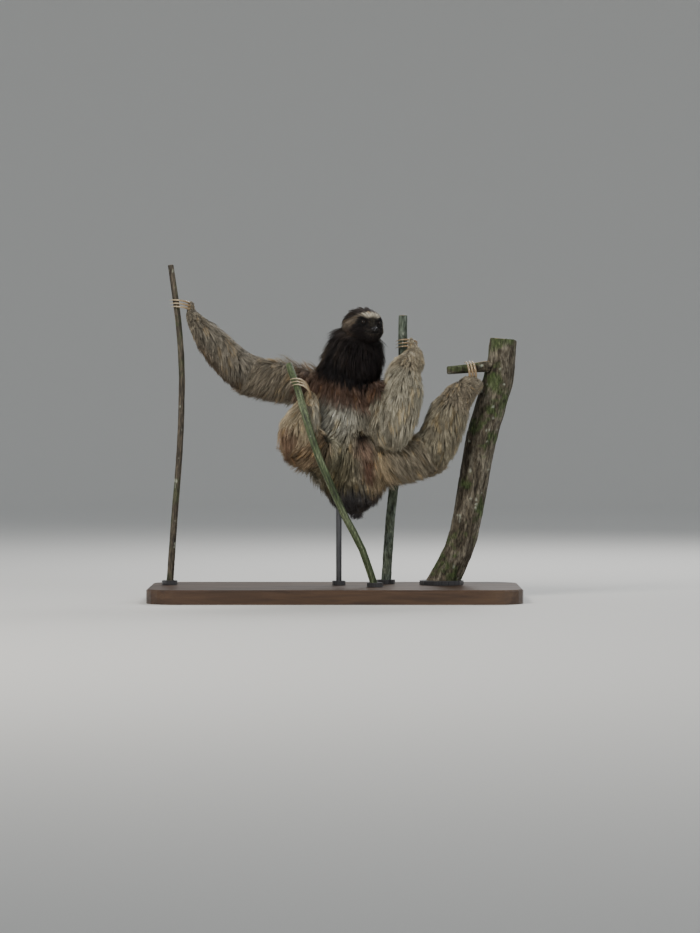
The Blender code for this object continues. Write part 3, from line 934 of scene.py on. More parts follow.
# %% Coat: length, depth, width and count
BELLY_OPENING = (54, 346)  # across and up, in millimetres
HAIR = {  # part: length of hair, most depth of coat, width of a lock, all in millimetres, and how dense
    "head": (28, 13, 1.1, 1.6), "ear_left": (14, 5, 0.9, 1.6), "ear_right": (14, 5, 0.9, 1.6),
    "neck": (42, 22, 1.4, 1.2), "chest": (38, 17, 1.5, 1.0), "belly": (40, 17, 1.5, 1.0),
    "rump": (42, 17, 1.5, 1.0), "tail": (28, 10, 1.3, 1.5),
    "upper_arm_right": (42, 16, 1.5, 1.0), "forearm_right": (40, 15, 1.4, 1.1),
    "upper_arm_left": (38, 15, 1.4, 1.0), "forearm_left": (38, 15, 1.4, 1.1),
    "hand_right": (12, 5, 0.8, 2.6), "hand_left": (24, 10, 1.0, 2.2),
    "thigh_right": (42, 16, 1.5, 1.0), "shin_right": (34, 13, 1.3, 1.2), "foot_right": (11, 5, 0.8, 2.6),
    "thigh_left": (42, 16, 1.5, 1.0), "shin_left": (38, 14, 1.4, 1.1), "foot_left": (20, 8, 0.9, 2.2),
}
HAIR_AT_CLAWS = (8, 2.5, 0.7, 3.4)  # the same measures, so short that the claws show
HAIR_UNITS = (MM, MM, MM, 1)
SHORT_FACE = (26, 52)  # from short hair to the full coat, in millimetres from the nose
SHORT_TOES = (7 * MM, 24 * MM)  # the same, from the claws
CROWN_RISE, NAPE_RISE, NAPE_MANE = 4 * MM, 7 * MM, 14 * MM  # how much deeper, and longer, hair is there


def all_mixed(measures, others, weight):
    """Draws the hair's four measures towards others, by a weight at each point."""
    return [mixed(old, new * size, weight) for old, new, size in zip(measures, others, HAIR_UNITS)]


# The face's hair is short and fine, and gets longer with the distance from the nose.
from_nose = lengths(face - (0, 8, -14))
bare_face = 1 - ease(from_nose, *SHORT_FACE)
hair = [level({name: row[k] for name, row in HAIR.items()}) * size for k, size in enumerate(HAIR_UNITS)]
hair = all_mixed(hair, (4.2 + 0.10 * from_nose, 1.1 + 0.045 * from_nose, 0.55, 5.5), bare_face)
hair_length, hair_depth, hair_width, hair_count = hair

# Long hair fills the room between the skin and the solids' outer surface.
room = spread(skin.data, np.clip(room_for_coat(), 1 * MM, 34 * MM), 8)
shaggy = ease(hair_length, 18 * MM, 30 * MM)
hair_depth = np.clip(room, 0.8 * hair_depth * shaggy, (1 + 0.7 * shaggy) * hair_depth)

claw_points = point_tree(np.vstack([points_of(claw.data) for claw in claws.values()]))
from_claws = np.array([claw_points.find(p)[2] for p in skin_points])
toes = 1 - ease(from_claws, *SHORT_TOES)
hair_length, hair_depth, hair_width, hair_count = all_mixed(
    (hair_length, hair_depth, hair_width, hair_count), HAIR_AT_CLAWS, toes)
print("hair from", round(hair_length.min() / MM, 1), "to", round(hair_length.max() / MM, 1), "mm long")

# %% Coat: hood, nape and bare places
# The belly has a bare spot under a parting. The hood's hair stands up on the crown, starts behind the
# ears and hides where head and neck meet.
hair_count *= 1 - 0.95 * near_place(*BELLY_OPENING, 13)
hair_length *= 1 - 0.6 * near_place(BELLY_OPENING[0], BELLY_OPENING[1] + 17, 24)
hood = is_part["head"] * (1 - bare_face)
hair_depth += CROWN_RISE * spread(skin.data, hood * ease(face[:, 2], 4, 30), 10)
nape = spread(skin.data, hood * ease(-face[:, 1], 22, 52), 10)
hair_depth += NAPE_RISE * nape
hair_length += NAPE_MANE * nape
hair_length = hair_length * np.clip(hair_depth / (16 * MM), 1, 1.3)

# No hair grows on the lids, the mouth line and the nose pad, and the lips' hair is short.
for side in (1, -1):
    wide, off = opening(skin_points, side)
    hair_count *= ease(wide, 1.25, 1.6) + (lengths(off) > 12 * MM).clip(0, 1) * (wide < 1.6)
muzzle = on_muzzle(face, MOUTH_HALF + 2)
smile = dent(over_mouth(face), 1.4) * muzzle
lips = muzzle * (1 - ease(np.abs(over_mouth(face)), 4, 9))
hair_count *= 1 - 0.97 * smile
hair_length *= 1 - 0.35 * lips
hair_depth *= 1 - 0.5 * lips
hair_count *= ease(lengths(skin_points - np.array(NOSE_CENTRE)), 5 * MM, 8.5 * MM)


# %% Coat: which way it lies
def nearest_row(points, line):
    """For each point, which point of a line is nearest."""
    return lengths(points[:, None] - line[None]).argmin(axis=1)


def where_on_limb(limb):
    """Which skin points are on a limb, and for each which way the limb runs and how far along it is."""
    here = np.isin(part, [FLESH.index(name) for name in LIMBS[limb][0]])
    line, at = smooth_line(lines[limb], LINE_STEP)
    near = nearest_row(skin_points[here], line)
    return here, unit(np.gradient(line, axis=0))[near], at[near]


# Along a limb the hair runs from both ends to the elbow or knee, and hangs a little. Only the toes'
# hair runs out over the claws, so it parts there, and more of it hides the parting. A limb goes from
# 0, where it leaves the trunk, to 3, at the claws.
LINE_STEP = 8 * MM
LIE_AT = (0.0, 0.85, 1.15, 2.0, 2.45, 2.75, 3.0)
LIE_ALONG = (0.6, 0.6, -0.8, -0.8, -0.6, 0.5, 1.4)
LIE_FALL = (0.75, 0.75, 0.75, 0.75, 0.75, 0.30, 0.10)
PARTING, PARTING_WIDTH = 2.65, 0.14


def flat_on_skin(ways):
    """Directions without the part of them that leaves the skin."""
    return ways - skin_normals * np.sum(ways * skin_normals, axis=1, keepdims=True)


def lie_of_coat():
    """Which way the hair lies at each point of the skin."""
    way = np.tile(DOWN, (len(skin_points), 1))
    trunk = is_part["chest"] | is_part["belly"] | is_part["rump"]
    way[trunk, 0] += 0.4 * np.clip((skin_points[trunk, 0] - middle("belly").x) / (50 * MM), -1, 1)
    for limb in LIMBS:
        here, along, at = where_on_limb(limb)
        strength, fall = (np.interp(at, LIE_AT, values)[:, None] for values in (LIE_ALONG, LIE_FALL))
        way[here] = along * strength + DOWN * fall
    head = is_part["head"] | is_part["ear_left"] | is_part["ear_right"]
    away = unit(face - (0, 9, -12)) @ FACE + np.array(-FACE_OUT) * 0.5
    way[head] = away[head] + DOWN * (0.9 * (1 - bare_face[head]))[:, None]
    swirl = soft_noise(skin_points, 42 * MM, 5)[:, None] * np.cross(skin_normals, way)
    way = way + 0.45 * swirl * (1 - bare_face)[:, None]
    for _ in range(4):
        way = spread(skin.data, unit(flat_on_skin(way)), 6)
    return unit(flat_on_skin(way))


lie = lie_of_coat()
for limb in LIMBS:
    here, along, at = where_on_limb(limb)
    hair_count[here] *= 1 + 1.8 * dent(at - PARTING, PARTING_WIDTH)


# %% [markdown]
# A brown-throated sloth wears a grey coat with pale and rusty patches, a pale band over its face and a
# brown throat. Here the face inside the band is painted near black as painted shade, and the throat near
# black, partly its own brown and partly painted shade. The colours are worked out once, at the points of
# the skin, as thin coats of paint one over the other. The skin and every lock take theirs from there, so
# the markings run through both.

# %% Markings: colours and places
# Spots of colour on the sloth's front: where each one's hair grows, across and up, how far it
# reaches, both in millimetres, its colour and how strong it is. Hair carries its colour about 20 mm
# lower than its root.
SPOTS = [
    ((0, 402), 68, (0.350, 0.340, 0.290), 0.90),
    ((66, 400), 30, (0.115, 0.108, 0.084), 0.65),
    ((10, 342), 36, (0.190, 0.182, 0.130), 0.60),
    ((72, 369), 24, (0.400, 0.350, 0.265), 0.90),
    ((54, 334), 24, (0.230, 0.140, 0.098), 0.75),
    ((60, 308), 17, (0.145, 0.068, 0.046), 0.85),
    ((63, 288), 15, (0.145, 0.068, 0.046), 0.80),
    (BELLY_OPENING, 17, (0.014, 0.010, 0.009), 0.98),
    ((-104, 350), 44, (0.150, 0.075, 0.045), 0.75),
]
# The sloth's right arm and hand are painted darker than its left ones, in the same hues, as painted shade.
LIMB_COLOURS = {
    "upper_arm_left": (0.240, 0.218, 0.165), "forearm_left": (0.300, 0.275, 0.212),
    "hand_left": (0.285, 0.245, 0.175), "thigh_left": (0.218, 0.188, 0.138),
    "shin_left": (0.245, 0.218, 0.158), "foot_left": (0.240, 0.205, 0.150),
    "upper_arm_right": (0.185, 0.160, 0.120), "forearm_right": (0.190, 0.170, 0.135),
    "hand_right": (0.165, 0.145, 0.110), "thigh_right": (0.205, 0.150, 0.095),
    "shin_right": (0.345, 0.290, 0.200), "foot_right": (0.330, 0.265, 0.170),
}
COAT_PALER = 1.25
# The front of the throat's near black: partly its own dark brown and partly painted shade.
THROAT_BROWN_AND_SHADE = (0.013, 0.011, 0.012)
THROAT_END, THROAT_SLOPE = 492, -0.34  # how high the dark throat ends, in millimetres, and its slope across
wander = soft_noise(skin_points, 26 * MM, 2)
fine = soft_noise(skin_points, 9 * MM, 8)


# %% Markings: the body
def body_markings():
    """The grey coat, its pale and rusty patches, the right arm painted darker as painted shade, and a
    dark blue-grey low on the rump and belly.
    """
    x, z = (skin_points[:, (0, 2)] / MM).T
    back = 1 - front
    tone = painted(
        np.full((len(x), 3), (0.205, 0.182, 0.135)),
        ((0.135, 0.115, 0.085), 0.8 * ease(wander, 0.0, 0.9) * back),
        ((0.34, 0.31, 0.25), 0.75 * ease(-wander + 0.3 * fine, 0.25, 0.8) * back))
    for name, colour in LIMB_COLOURS.items():
        tone[is_part[name]] = colour
    arm = is_part["upper_arm_right"] | is_part["forearm_right"]
    rump = is_part["rump"] | is_part["tail"]
    under = ease(-z + 10 * wander, -272, -242)
    return painted(
        tone,
        # The right arm is painted dark brown where its skin faces down, as painted shade under the arm.
        ((0.085, 0.062, 0.042), 0.75 * arm * ease(-skin_normals[:, 2], -0.1, 0.6)),
        ((0.350, 0.270, 0.170), 0.80 * rump * front * ease(x, 58, 80)),
        ((0.135, 0.118, 0.070), 0.85 * rump * front * (1 - ease(x, 25, 55))),
        *((colour, strength * near_place(*place, radius)) for place, radius, colour, strength in SPOTS),
        ((0.066, 0.064, 0.071), 0.9 * under * (rump | is_part["belly"])))


# %% Markings: the head
def head_markings(tone):
    """The rusty chest band, the hood and the brow band. The face inside the band is painted near black as
    painted shade, and the throat near black, partly its own brown and partly painted shade.
    """
    x, z = (skin_points[:, (0, 2)] / MM).T
    over = z - (THROAT_END + THROAT_SLOPE * x + 6 * wander + 4 * fine)
    body = ~np.isin(part, [FLESH.index(name) for names, root in LIMBS.values() for name in names])
    chest = ease(over, -74, -46) * body * front
    head = ease(over, 26, 44) * body
    left, out, up = face.T
    around = np.hypot(left / np.where(left > 0, 34, 41), (up + 14) / 26) + 0.035 * fine
    band = ease(around, 0.78, 0.87) * (1 - ease(around, 1.12, 1.26)) * ease(out, -52, -30) * head
    temple = ease(-left, 13, 27)
    bridge = dent(left, 5.5) * ease(up, -20, -8) * (1 - ease(up, 4, 12))
    lids = [lengths(skin_points - np.array(EYES[side])) for side in (1, -1)]
    return painted(
        tone,
        ((0.128, 0.074, 0.053), 0.92 * chest),
        ((0.290, 0.205, 0.140), 0.45 * chest * ease(fine, 0.3, 0.8)),
        ((0.062, 0.045, 0.033), ease(over, -48, 26) * body * (1 - front)),
        # The front of the throat is painted near black: partly its own brown and partly painted shade.
        (THROAT_BROWN_AND_SHADE, ease(over, -12, 4) * body * front),
        ((0.042, 0.034, 0.031), head * ease(out, -70, -40)),
        ((0.620, 0.560, 0.450), 0.95 * band * (1 - temple) * ease(up, -24, -4)),
        ((0.200, 0.165, 0.125), 0.90 * band * temple * ease(up, -16, 6)),
        ((0.085, 0.062, 0.050), 0.85 * band * temple * (1 - ease(up, -14, 2))),
        # The face inside the brow band is painted near black as painted shade.
        ((0.013, 0.009, 0.009), (1 - ease(around, 0.74, 0.82)) * head),
        ((0.085, 0.078, 0.060), 0.6 * bridge * head),
        # The chin and the jaw under the mouth are painted near black as painted shade.
        ((0.014, 0.010, 0.010), ease(-up, 20, 30) * head * ease(out, -60, -30)),
        ((0.046, 0.036, 0.028), 0.7 * lips * head),
        ((0.006, 0.004, 0.004), smile * head),
        *(((0.010, 0.008, 0.008), 1 - ease(lid, 9 * MM, 13 * MM)) for lid in lids))


# The skin under the coat takes the coat's markings, painted darker: partly the skin's own dark colour and
# partly painted shade deep in the coat, between the locks.
SKIN_SHADE_UNDER_HAIR = 0.4  # how dark the skin is next to its hair
skin_tone = spread(skin.data, head_markings(spread(skin.data, body_markings(), 6) * COAT_PALER), 1)
set_tone(skin, skin_tone * SKIN_SHADE_UNDER_HAIR)
skin.data.shade_smooth()
print("colours from", skin_tone.min(axis=0).round(3), "to", skin_tone.max(axis=0).round(3))

# %% [markdown]
# The coat is made of solid locks. Blender's hair curves are quicker to grow, but they have no faces,
# so nothing of them would stay in the finished model. Each lock starts just under the skin, follows
# the lie of the hair over the body, rises to its place in the coat and tapers to a loose point.
# Neighbours are drawn towards a leader, as damp hair is, and that makes the shaggy clumps. A lock is
# three-sided with three rings and a tip, so that there can be many thousands. Numpy works out all the
# points of a coat piece at once, because operators on one lock at a time would take far too long.

# %% Locks: the skin they grow on
skin_faces = read(skin.data.polygons, "vertices", 3, np.int64)
skin_tree = BVHTree.FromPolygons([Vector(p) for p in skin_points], skin_faces.tolist())
corner_a, corner_b, corner_c = (skin_points[skin_faces[:, k]] for k in range(3))
face_area = lengths(np.cross(corner_b - corner_a, corner_c - corner_a)) / 2
face_lie = unit(lie[skin_faces].mean(axis=1))
face_normal = unit(skin_normals[skin_faces].mean(axis=1))
face_part = part[skin_faces[:, 0]]
face_weight = face_area * hair_count[skin_faces].mean(axis=1)
on_face = bare_face[skin_faces].mean(axis=1) > 0.35

# %% Locks: their measures
LOCKS = 84000
MOST_LOCKS = 12300  # in one coat piece
CLUMP = 11  # locks to a leader
PATCH = 0.003  # the size of a lock's patch on the OFBake map
ROOT_DEPTH = 0.7 * MM
RINGS = np.array([0.0, 0.35, 0.70, 1.0])  # how far along a lock its three rings and its tip are
# A lock's colour at its rings and tip: painted darker towards the root, as painted shade deep in the coat,
# and paler at the tip.
RING_SHADE_AND_PALE_TIPS = (0.45, 0.85, 1.12, 1.45)
RING_WIDTHS = (0.8, 1.0, 0.72)
LOCK_FLATNESS = 0.6
LENGTH_RANGE, WIDTH_RANGE = (0.7, 1.15), (0.7, 1.3)
LEAST_RISE = 0.35  # the flattest lock's height, as a share of the coat's depth
TIP_REACH, TIP_FALL, TIP_STRAY = 0.32, 0.22, 0.10
CLUMP_PULL, SIDE_STRAY, SHADE_STRAY = (0.35, 0.85), 0.035, 0.20
GOLDEN_SHARE, GOLDEN_TINT = 0.09, (1.26, 1.14, 0.95)
PATTERN = [(2, 1, 0)]  # a lock's triangles: its root, two sleeves between rings and its tip
for row in (0, 3):
    for k in range(3):
        a, b = row + k, row + (k + 1) % 3
        PATTERN += [(a, b, b + 3), (a, b + 3, a + 3)]
PATTERN += [(6 + k, 6 + (k + 1) % 3, 9) for k in range(3)]
PATTERN = np.array(PATTERN)


# %% Locks: roots and paths
def walk(points, ways):
    """Moves points over the skin and says where they come to, and on which face."""
    found = [skin_tree.find_nearest(Vector(p)) for p in points + ways]
    return np.array([tuple(f[0]) for f in found]), np.array([f[2] for f in found])


def nearest_leader(roots, leaders):
    """For each lock, the leader that grows nearest to it."""
    tree = point_tree(roots[leaders])
    return leaders[np.array([tree.find(p)[1] for p in roots])]


def lock_roots(rng, chosen):
    """Faces of the skin, picked as often as hair grows on them, and a point on each."""
    ids = np.flatnonzero(chosen)
    share = face_weight[ids]
    count = min(MOST_LOCKS, int(LOCKS * share.sum() / face_weight.sum()))
    picked = ids[np.searchsorted(np.cumsum(share), rng.random(count) * share.sum())]
    u, v = rng.random((2, count, 1))
    u, v = np.where(u + v > 1, 1 - u, u), np.where(u + v > 1, 1 - v, v)
    return picked, corner_a[picked] * (1 - u - v) + corner_b[picked] * u + corner_c[picked] * v


def lock_paths(rng, picked, roots, length, depth):
    """The middle of each lock at its rings and its tip, and which way is out of the coat there."""
    count = len(picked)
    rise = depth * (LEAST_RISE + (1 - LEAST_RISE) * rng.random(count) ** 0.7)
    spots, faces = [roots], [picked]
    for step in np.diff(RINGS)[:2]:
        spot, index = walk(spots[-1], face_lie[faces[-1]] * (length * step)[:, None])
        spots.append(spot)
        faces.append(index)
    outs = [face_normal[f] for f in faces]
    heights = (np.full(count, -ROOT_DEPTH), 0.5 * rise, 0.92 * rise)
    path = [spot + out * height[:, None] for spot, out, height in zip(spots, outs, heights)]
    run = unit(path[2] - path[1]) + DOWN * TIP_FALL + rng.normal(0, TIP_STRAY, (count, 3))
    path.append(path[2] + unit(run) * (length * TIP_REACH)[:, None])
    return np.array(path), np.array(outs + outs[-1:])


def lock_rings(rng, path, outs, length, width):
    """The ten points of each lock: three rings of three round its path, and its tip."""
    tangent = unit(np.gradient(path, axis=0))
    side = unit(np.cross(tangent, outs))
    up = np.cross(side, tangent)
    stray = rng.normal(0, SIDE_STRAY, len(width)) * length
    path = path + side * stray[None, :, None] * RINGS[:, None, None]
    width = (width * rng.uniform(*WIDTH_RANGE, len(width)) / 2)[:, None]
    rings = []
    for k, swell in enumerate(RING_WIDTHS):
        for turn in np.radians((90, 210, 330)):
            spoke = side[k] * math.cos(turn) + up[k] * math.sin(turn) * LOCK_FLATNESS
            rings.append(path[k] + spoke * width * swell)
    return np.stack(rings + [path[3]], axis=1)


# %% Locks: a coat piece
def unwrap(points, line):
    """Where points lie on a sleeve round a line: round it across, and along it up, both from 0 to 1."""
    near = nearest_row(points, line)
    along = unit(np.gradient(line, axis=0))[near]
    out = points - line[near]
    run = np.sum(out * along, axis=1)
    side = unit(np.cross(along, (0.3, 1.0, 0.2)))
    turn = np.arctan2(np.sum(out * np.cross(along, side), axis=1), np.sum(out * side, axis=1))
    length = lengths(np.diff(line, axis=0)).sum()
    reach = near / (len(line) - 1) + run / max(length, 1e-6)
    reach = (reach - reach.min()) / max(np.ptp(reach), 1e-9)
    return np.stack([turn / (2 * math.pi) + 0.5, reach], axis=1) * 0.99


def mesh_of(name, points, faces):
    """An object from arrays of points and triangles."""
    mesh = bpy.data.meshes.new(name)
    mesh.vertices.add(len(points))
    mesh.vertices.foreach_set("co", points.ravel())
    mesh.loops.add(faces.size)
    mesh.loops.foreach_set("vertex_index", faces.ravel())
    mesh.polygons.add(len(faces))
    mesh.polygons.foreach_set("loop_start", np.arange(len(faces)) * 3)
    mesh.polygons.foreach_set("loop_total", np.full(len(faces), 3))
    mesh.update(calc_edges=True)
    mesh.shade_smooth()
    return linked(name, mesh)


def make_coat(name, chosen, line, seed):
    """All the locks that grow on some faces of the skin, as one mesh."""
    rng = np.random.default_rng(seed)
    picked, roots = lock_roots(rng, chosen)
    count = len(picked)

    def at(values):
        return values[skin_faces[picked]].mean(axis=1)

    length = at(hair_length) * rng.uniform(*LENGTH_RANGE, count)
    path, outs = lock_paths(rng, picked, roots, length, at(hair_depth))
    lead = nearest_leader(roots, rng.permutation(count)[:max(1, count // CLUMP)])
    pull = rng.uniform(*CLUMP_PULL, count)[lead][None, :, None] * (RINGS ** 1.4)[:, None, None]
    path += (path[:, lead] - path) * pull
    points = lock_rings(rng, path, outs, length, at(hair_width))
    mesh_faces = PATTERN[None] + (np.arange(count) * 10)[:, None, None]
    coat = mesh_of(name, points.reshape(-1, 3), mesh_faces.reshape(-1, 3))
    shade = rng.normal(0, SHADE_STRAY, count) + rng.normal(0, SHADE_STRAY, count)[lead]
    tone = at(skin_tone) * np.exp(shade)[:, None]
    golden = rng.random(count)[lead] < GOLDEN_SHARE
    tone = np.where(golden[:, None], tone * GOLDEN_TINT, tone)
    # Each lock is painted darker at its root, as painted shade deep in the coat.
    ring_shade = np.repeat(RING_SHADE_AND_PALE_TIPS, (3, 3, 3, 1))
    set_tone(coat, (tone[:, None] * ring_shade[None, :, None]).reshape(-1, 3))
    patch = np.array([(k % 3 / 2, RINGS[k // 3]) for k in range(9)] + [(0.5, 1.0)])
    place = unwrap(roots, line)[:, None] + PATCH * patch[None]
    layer = coat.data.uv_layers.new(name="OFBake")
    layer.data.foreach_set("uv", place.reshape(-1, 2)[mesh_faces.ravel()].astype(np.float32).ravel())
    return coat


# %% Locks: all coat pieces
def faces_of(*names):
    """Which faces of the skin lie on these parts."""
    return np.isin(face_part, [FLESH.index(name) for name in names])


trunk_rows = smooth_line(trunk_line(), LINE_STEP)[0]
head_rows = np.linspace(middle("head") - FACE_UP * 40 * MM, middle("head") + FACE_UP * 40 * MM, 24)
head_faces = faces_of("head", "ear_left", "ear_right")
COATS = [
    ("coat_face", head_faces & on_face, head_rows),
    ("coat_crown", head_faces & ~on_face, head_rows),
    ("coat_neck", faces_of("neck"), trunk_rows),
    ("coat_chest", faces_of("chest"), trunk_rows),
    ("coat_belly", faces_of("belly"), trunk_rows),
    ("coat_rump", faces_of("rump", "tail"), trunk_rows),
]
for limb, (names, root) in LIMBS.items():
    rows = smooth_line(lines[limb], LINE_STEP)[0]
    COATS.append((f"coat_{names[0]}", faces_of(names[0]), rows))
    COATS.append((f"coat_{names[1]}", faces_of(*names[1:]), rows))
coats = [make_coat(name, chosen, rows, seed) for seed, (name, chosen, rows) in enumerate(COATS)]
for coat in coats:
    print(coat.name, len(coat.data.polygons))
print("coat triangles:", sum(len(coat.data.polygons) for coat in coats))

# %% [markdown]
# The sloth holds short cut lengths of the stems that it climbs: a mossy trunk with a side branch, a
# grey pole and two vines. They are the solids' own shapes, so the claws still fit round them. The
# bark's ridges, pits and knots are worked into the mesh, as a bump alone leaves a smooth outline. The
# cut tops show their rings.


# %% Perches: bark
GREEN_MOSS, GREY_MOSS, LICHEN = (0.055, 0.085, 0.028), (0.12, 0.14, 0.09), (0.33, 0.35, 0.29)
NEW_WOOD, OLD_WOOD = (0.50, 0.36, 0.20), (0.30, 0.19, 0.10)


def stem_middle(points, rows=24):
    """The middle line of an upright stem, from low to high."""
    levels = np.linspace(points[:, 2].min(), points[:, 2].max(), rows)
    step = levels[1] - levels[0]
    line = []
    for z in levels:
        near = points[np.abs(points[:, 2] - z) < 0.8 * step, :2]
        line.append((*(near.min(axis=0) + near.max(axis=0)) / 2, z))
    return np.array(line)


def make_stem(node, voxel, ridge, run, colours, moss, seed):
    """One perch: its solid, finer, with ridges of bark that run along it."""
    stem = remade(node.replace("perch_", "stem_"), [node], voxel, 5)
    points, normals = points_of(stem.data), soft_normals(stem.data, 2)
    line = stem_middle(points)
    centre = line[np.abs(points[:, 2:3] - line[None, :, 2]).argmin(axis=1)]
    straight = points.copy()
    for axis in () if node == "perch_branch" else (0, 1):
        straight[:, axis] -= np.interp(points[:, 2], line[:, 2], line[:, axis])
    long_grain = soft_noise(straight, run, seed) + 0.6 * soft_noise(straight, run * 0.45, seed + 1)
    pits = np.minimum(0, soft_noise(points, 14 * MM, seed + 2) + 0.45)
    knots = np.maximum(0, soft_noise(points, 34 * MM, seed + 3) - 0.55)
    cut = np.abs(normals[:, 2]) > 0.92
    height = (ridge * long_grain * 0.6 + ridge * 0.8 * pits + 2.2 * ridge * knots) * ~cut
    set_points(stem.data, points + normals * (np.minimum(height, 0.8 * ridge) * MM)[:, None])
    patch = soft_noise(points, 30 * MM, seed + 4) + 0.5 * soft_noise(points, 8 * MM, seed + 5)
    lichen = soft_noise(points, 12 * MM, seed + 6) + 0.35 * soft_noise(points, 4 * MM, seed + 8)
    # The bark is paler on its ridges and much darker in its furrows: partly the furrows' own darker bark
    # and partly painted shade.
    tone = painted(
        np.full((len(points), 3), colours[0]),
        (colours[1], ease(long_grain, -0.2, 0.9)),
        (np.array(colours[0]) * 0.35, ease(-long_grain, 0.35, 1.0)),
        (moss[0], moss[1] * ease(patch + 0.5 * normals[:, 2], 0.0, 0.7)),
        (LICHEN, 0.6 * ease(lichen, 0.72, 0.92)))
    out = np.hypot(*(points - centre)[:, :2].T) / MM
    rings = 0.5 + 0.5 * np.sin(out * 3.2 + 0.8 * soft_noise(points, 9 * MM, seed + 7))
    wood = blend(np.full((len(points), 3), NEW_WOOD), OLD_WOOD, rings * 0.7)
    top = cut & (points[:, 2] > points[:, 2].max() - 6 * MM)
    tone[top] = wood[top]
    set_tone(stem, tone)
    stem.data.shade_smooth()
    return stem


# %% Perches: all stems
STEMS = {  # voxel, ridge and the grain's size in mm, two colours of bark, the moss and how much there is
    "perch_trunk": (2.0, 1.5, (7, 7, 30), ((0.075, 0.062, 0.045), (0.17, 0.15, 0.115)), GREEN_MOSS, 0.75),
    "perch_branch": (1.6, 1.0, (24, 7, 7), ((0.070, 0.058, 0.042), (0.16, 0.14, 0.105)), GREEN_MOSS, 0.6),
    "perch_pole": (1.6, 0.7, (5, 5, 26), ((0.095, 0.115, 0.090), (0.20, 0.235, 0.20)), GREY_MOSS, 0.5),
    "perch_vine_foot": (1.3, 0.5, (3, 3, 60), ((0.065, 0.088, 0.04), (0.22, 0.25, 0.15)), GREEN_MOSS, 0.4),
    "perch_vine_hand": (1.3, 0.5, (3, 3, 30), ((0.05, 0.04, 0.028), (0.105, 0.085, 0.06)), GREEN_MOSS, 0.4),
}
stems = {}
for seed, (node, (voxel, ridge, run, colours, *moss)) in enumerate(STEMS.items()):
    stems[node] = make_stem(node, voxel * MM, ridge, np.array(run) * MM, colours, moss, 20 + 10 * seed)
    print(node, len(stems[node].data.polygons) * 2)

# %% [markdown]
# Hair, skin, horn and bark take their colours from their meshes, so their materials only add what is
# too fine for a mesh: how they shine, grain, and the bark's flecks. The stand's base is oiled walnut,
# with streaks that run along it, and the rod and the rings are dark brushed steel.

# %% Materials: coloured by the mesh
FLECK_SHADES = [(0.36, (0.35, 0.33, 0.30)), (0.5, (0.95, 0.95, 0.95)), (0.66, (1.7, 1.7, 1.6))]


def toned(name, roughness, specular=0.5, grain=None, strength=0.3, distance=0.4 * MM, flecks=None):
    """A material that takes its colour from the mesh, with fine grain in the surface and darker flecks."""
    paint = Paint(name, roughness=roughness, specular=specular)
    tone = paint.node("ShaderNodeAttribute", {"attribute_name": "tone"}, output="Color")
    if flecks:
        fleck = paint.noise(1.0, 6.0, 0.65, vector=paint.stretched(flecks))
        tone = paint.mix(1.0, tone, paint.ramp(fleck, FLECK_SHADES), "MULTIPLY")
    paint.colour(tone)
    if grain:
        paint.bump(paint.noise(grain, 5.0, 0.6), strength, distance)
    return paint


coat_paint = toned("hair", 0.62, 0.28)
skin_paint = toned("skin_under_coat", 0.75, 0.25, grain=900, strength=0.5)
horn_paint = toned("claw_horn", 0.36, 0.5, grain=700, strength=0.25, distance=0.15 * MM)
horn_paint.gloss(0.25)
bark_paint = toned("bark", 0.88, 0.25, 420, 0.6, 0.6 * MM, flecks=(260.0, 260.0, 75.0))
vine_paint = toned("vine_bark", 0.62, 0.4, 600, 0.4, 0.3 * MM, flecks=(420.0, 420.0, 70.0))
eye_paint = toned("eye", 0.16, 0.25)
eye_paint.gloss(0.15)

# %% Materials: nose and stand
nose_paint = Paint("nose_skin", roughness=0.45, specular=0.35)
pebble_inputs = {"Vector": nose_paint.place(), "Scale": 1700.0}
pebbles = nose_paint.node("ShaderNodeTexVoronoi", {}, pebble_inputs, "Distance")
nose_paint.colour(nose_paint.ramp(pebbles, [(0.0, (0.022, 0.020, 0.022)), (0.7, (0.008, 0.007, 0.008))]))
nose_paint.bump(pebbles, 0.35, 0.2 * MM)
nose_paint.gloss(0.1)

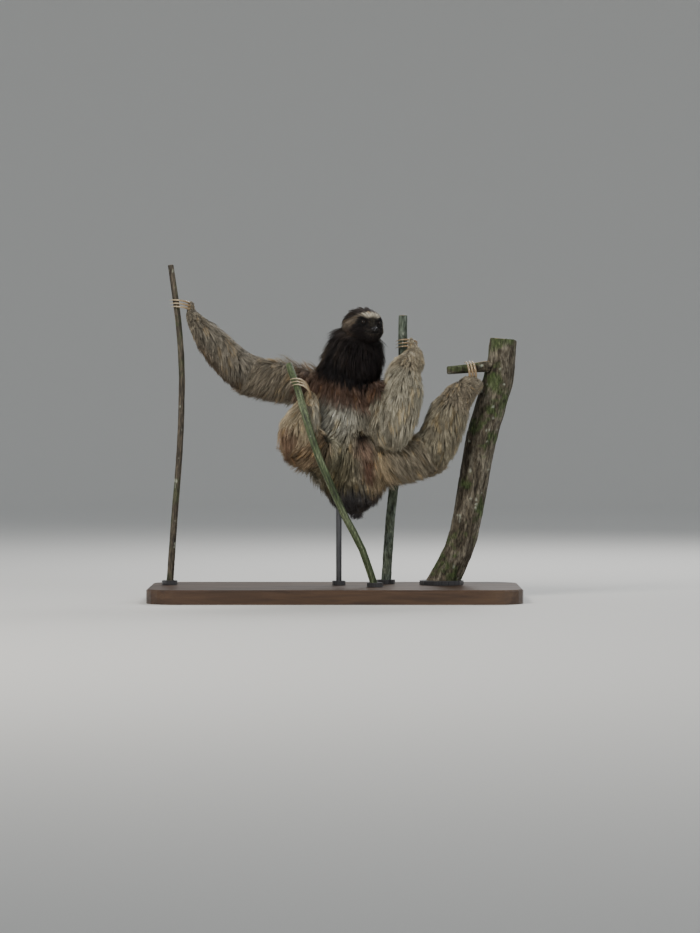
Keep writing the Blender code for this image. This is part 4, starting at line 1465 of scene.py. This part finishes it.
base_paint = Paint("base_walnut", roughness=0.42, specular=0.45)
streaks = base_paint.noise(1.0, 8.0, 0.62, vector=base_paint.stretched((7.0, 90.0, 90.0)), distortion=0.6)
broad = base_paint.noise(1.0, 3.0, 0.5, vector=base_paint.stretched((1.6, 16.0, 16.0)), distortion=1.2)
base_paint.colour(base_paint.ramp(streaks * 0.55 + broad * 0.45, [
    (0.30, (0.022, 0.011, 0.006)), (0.48, (0.062, 0.032, 0.017)), (0.62, (0.105, 0.058, 0.030)),
    (0.78, (0.040, 0.020, 0.011))]))
base_paint.rough(base_paint.ramp(streaks, [(0.3, (0.50, 0.50, 0.50)), (0.7, (0.36, 0.36, 0.36))]))
base_paint.bump(streaks, 0.12, 0.3 * MM)
base_paint.gloss(0.15)

steel_paint = Paint("stand_steel", roughness=0.34, metallic=1.0)
brushed = steel_paint.noise(1.0, 3.0, 0.5, vector=steel_paint.stretched((900.0, 900.0, 40.0)))
steel_paint.colour(steel_paint.ramp(brushed, [(0.3, (0.10, 0.10, 0.105)), (0.7, (0.17, 0.17, 0.18))]))
steel_paint.rough(steel_paint.ramp(brushed, [(0.3, (0.30, 0.30, 0.30)), (0.7, (0.42, 0.42, 0.42))]))


def dress(thing, paint):
    thing.data.materials.clear()
    thing.data.materials.append(paint.material)


for name, node in nodes.items():
    if name.startswith("stand_"):
        dress(node, base_paint if name == "stand_base" else steel_paint)

# %% [markdown]
# Last, every piece gets its material and is tied to the frame: what it rides on and which solids it
# stands for. The sloth is a still model, so all of it rides on one body.


# %% Tie the pieces to the frame
def tie(piece, paint, finish, *solids):
    """Gives a piece its material, says what it rides on and hides the solids that it replaces. Its finish
    is not used.
    """
    dress(piece, paint)
    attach(piece, "root")
    if solids:
        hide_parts(*solids)


for coat in coats:
    tie(coat, coat_paint, "coat_face" if coat.name == "coat_face" else "coat_grey")
tie(skin, skin_paint, "coat_grey", *FLESH)
for (paw, k), claw in claws.items():
    tie(claw, horn_paint, "claw_horn", f"claw_{paw}_{k}")
for side, ball in eyeballs.items():
    tie(ball, eye_paint, "eye_dark", "eye_left" if side > 0 else "eye_right")
tie(nose_pad_piece, nose_paint, "nose_skin", "nose")
for node, stem in stems.items():
    paint = vine_paint if "vine" in node else bark_paint
    tie(stem, paint, "vine_green" if node == "perch_vine_foot" else "bark", node)
print("pieces tied:", len(coats) + 1 + len(claws) + len(eyeballs) + 1 + len(stems))
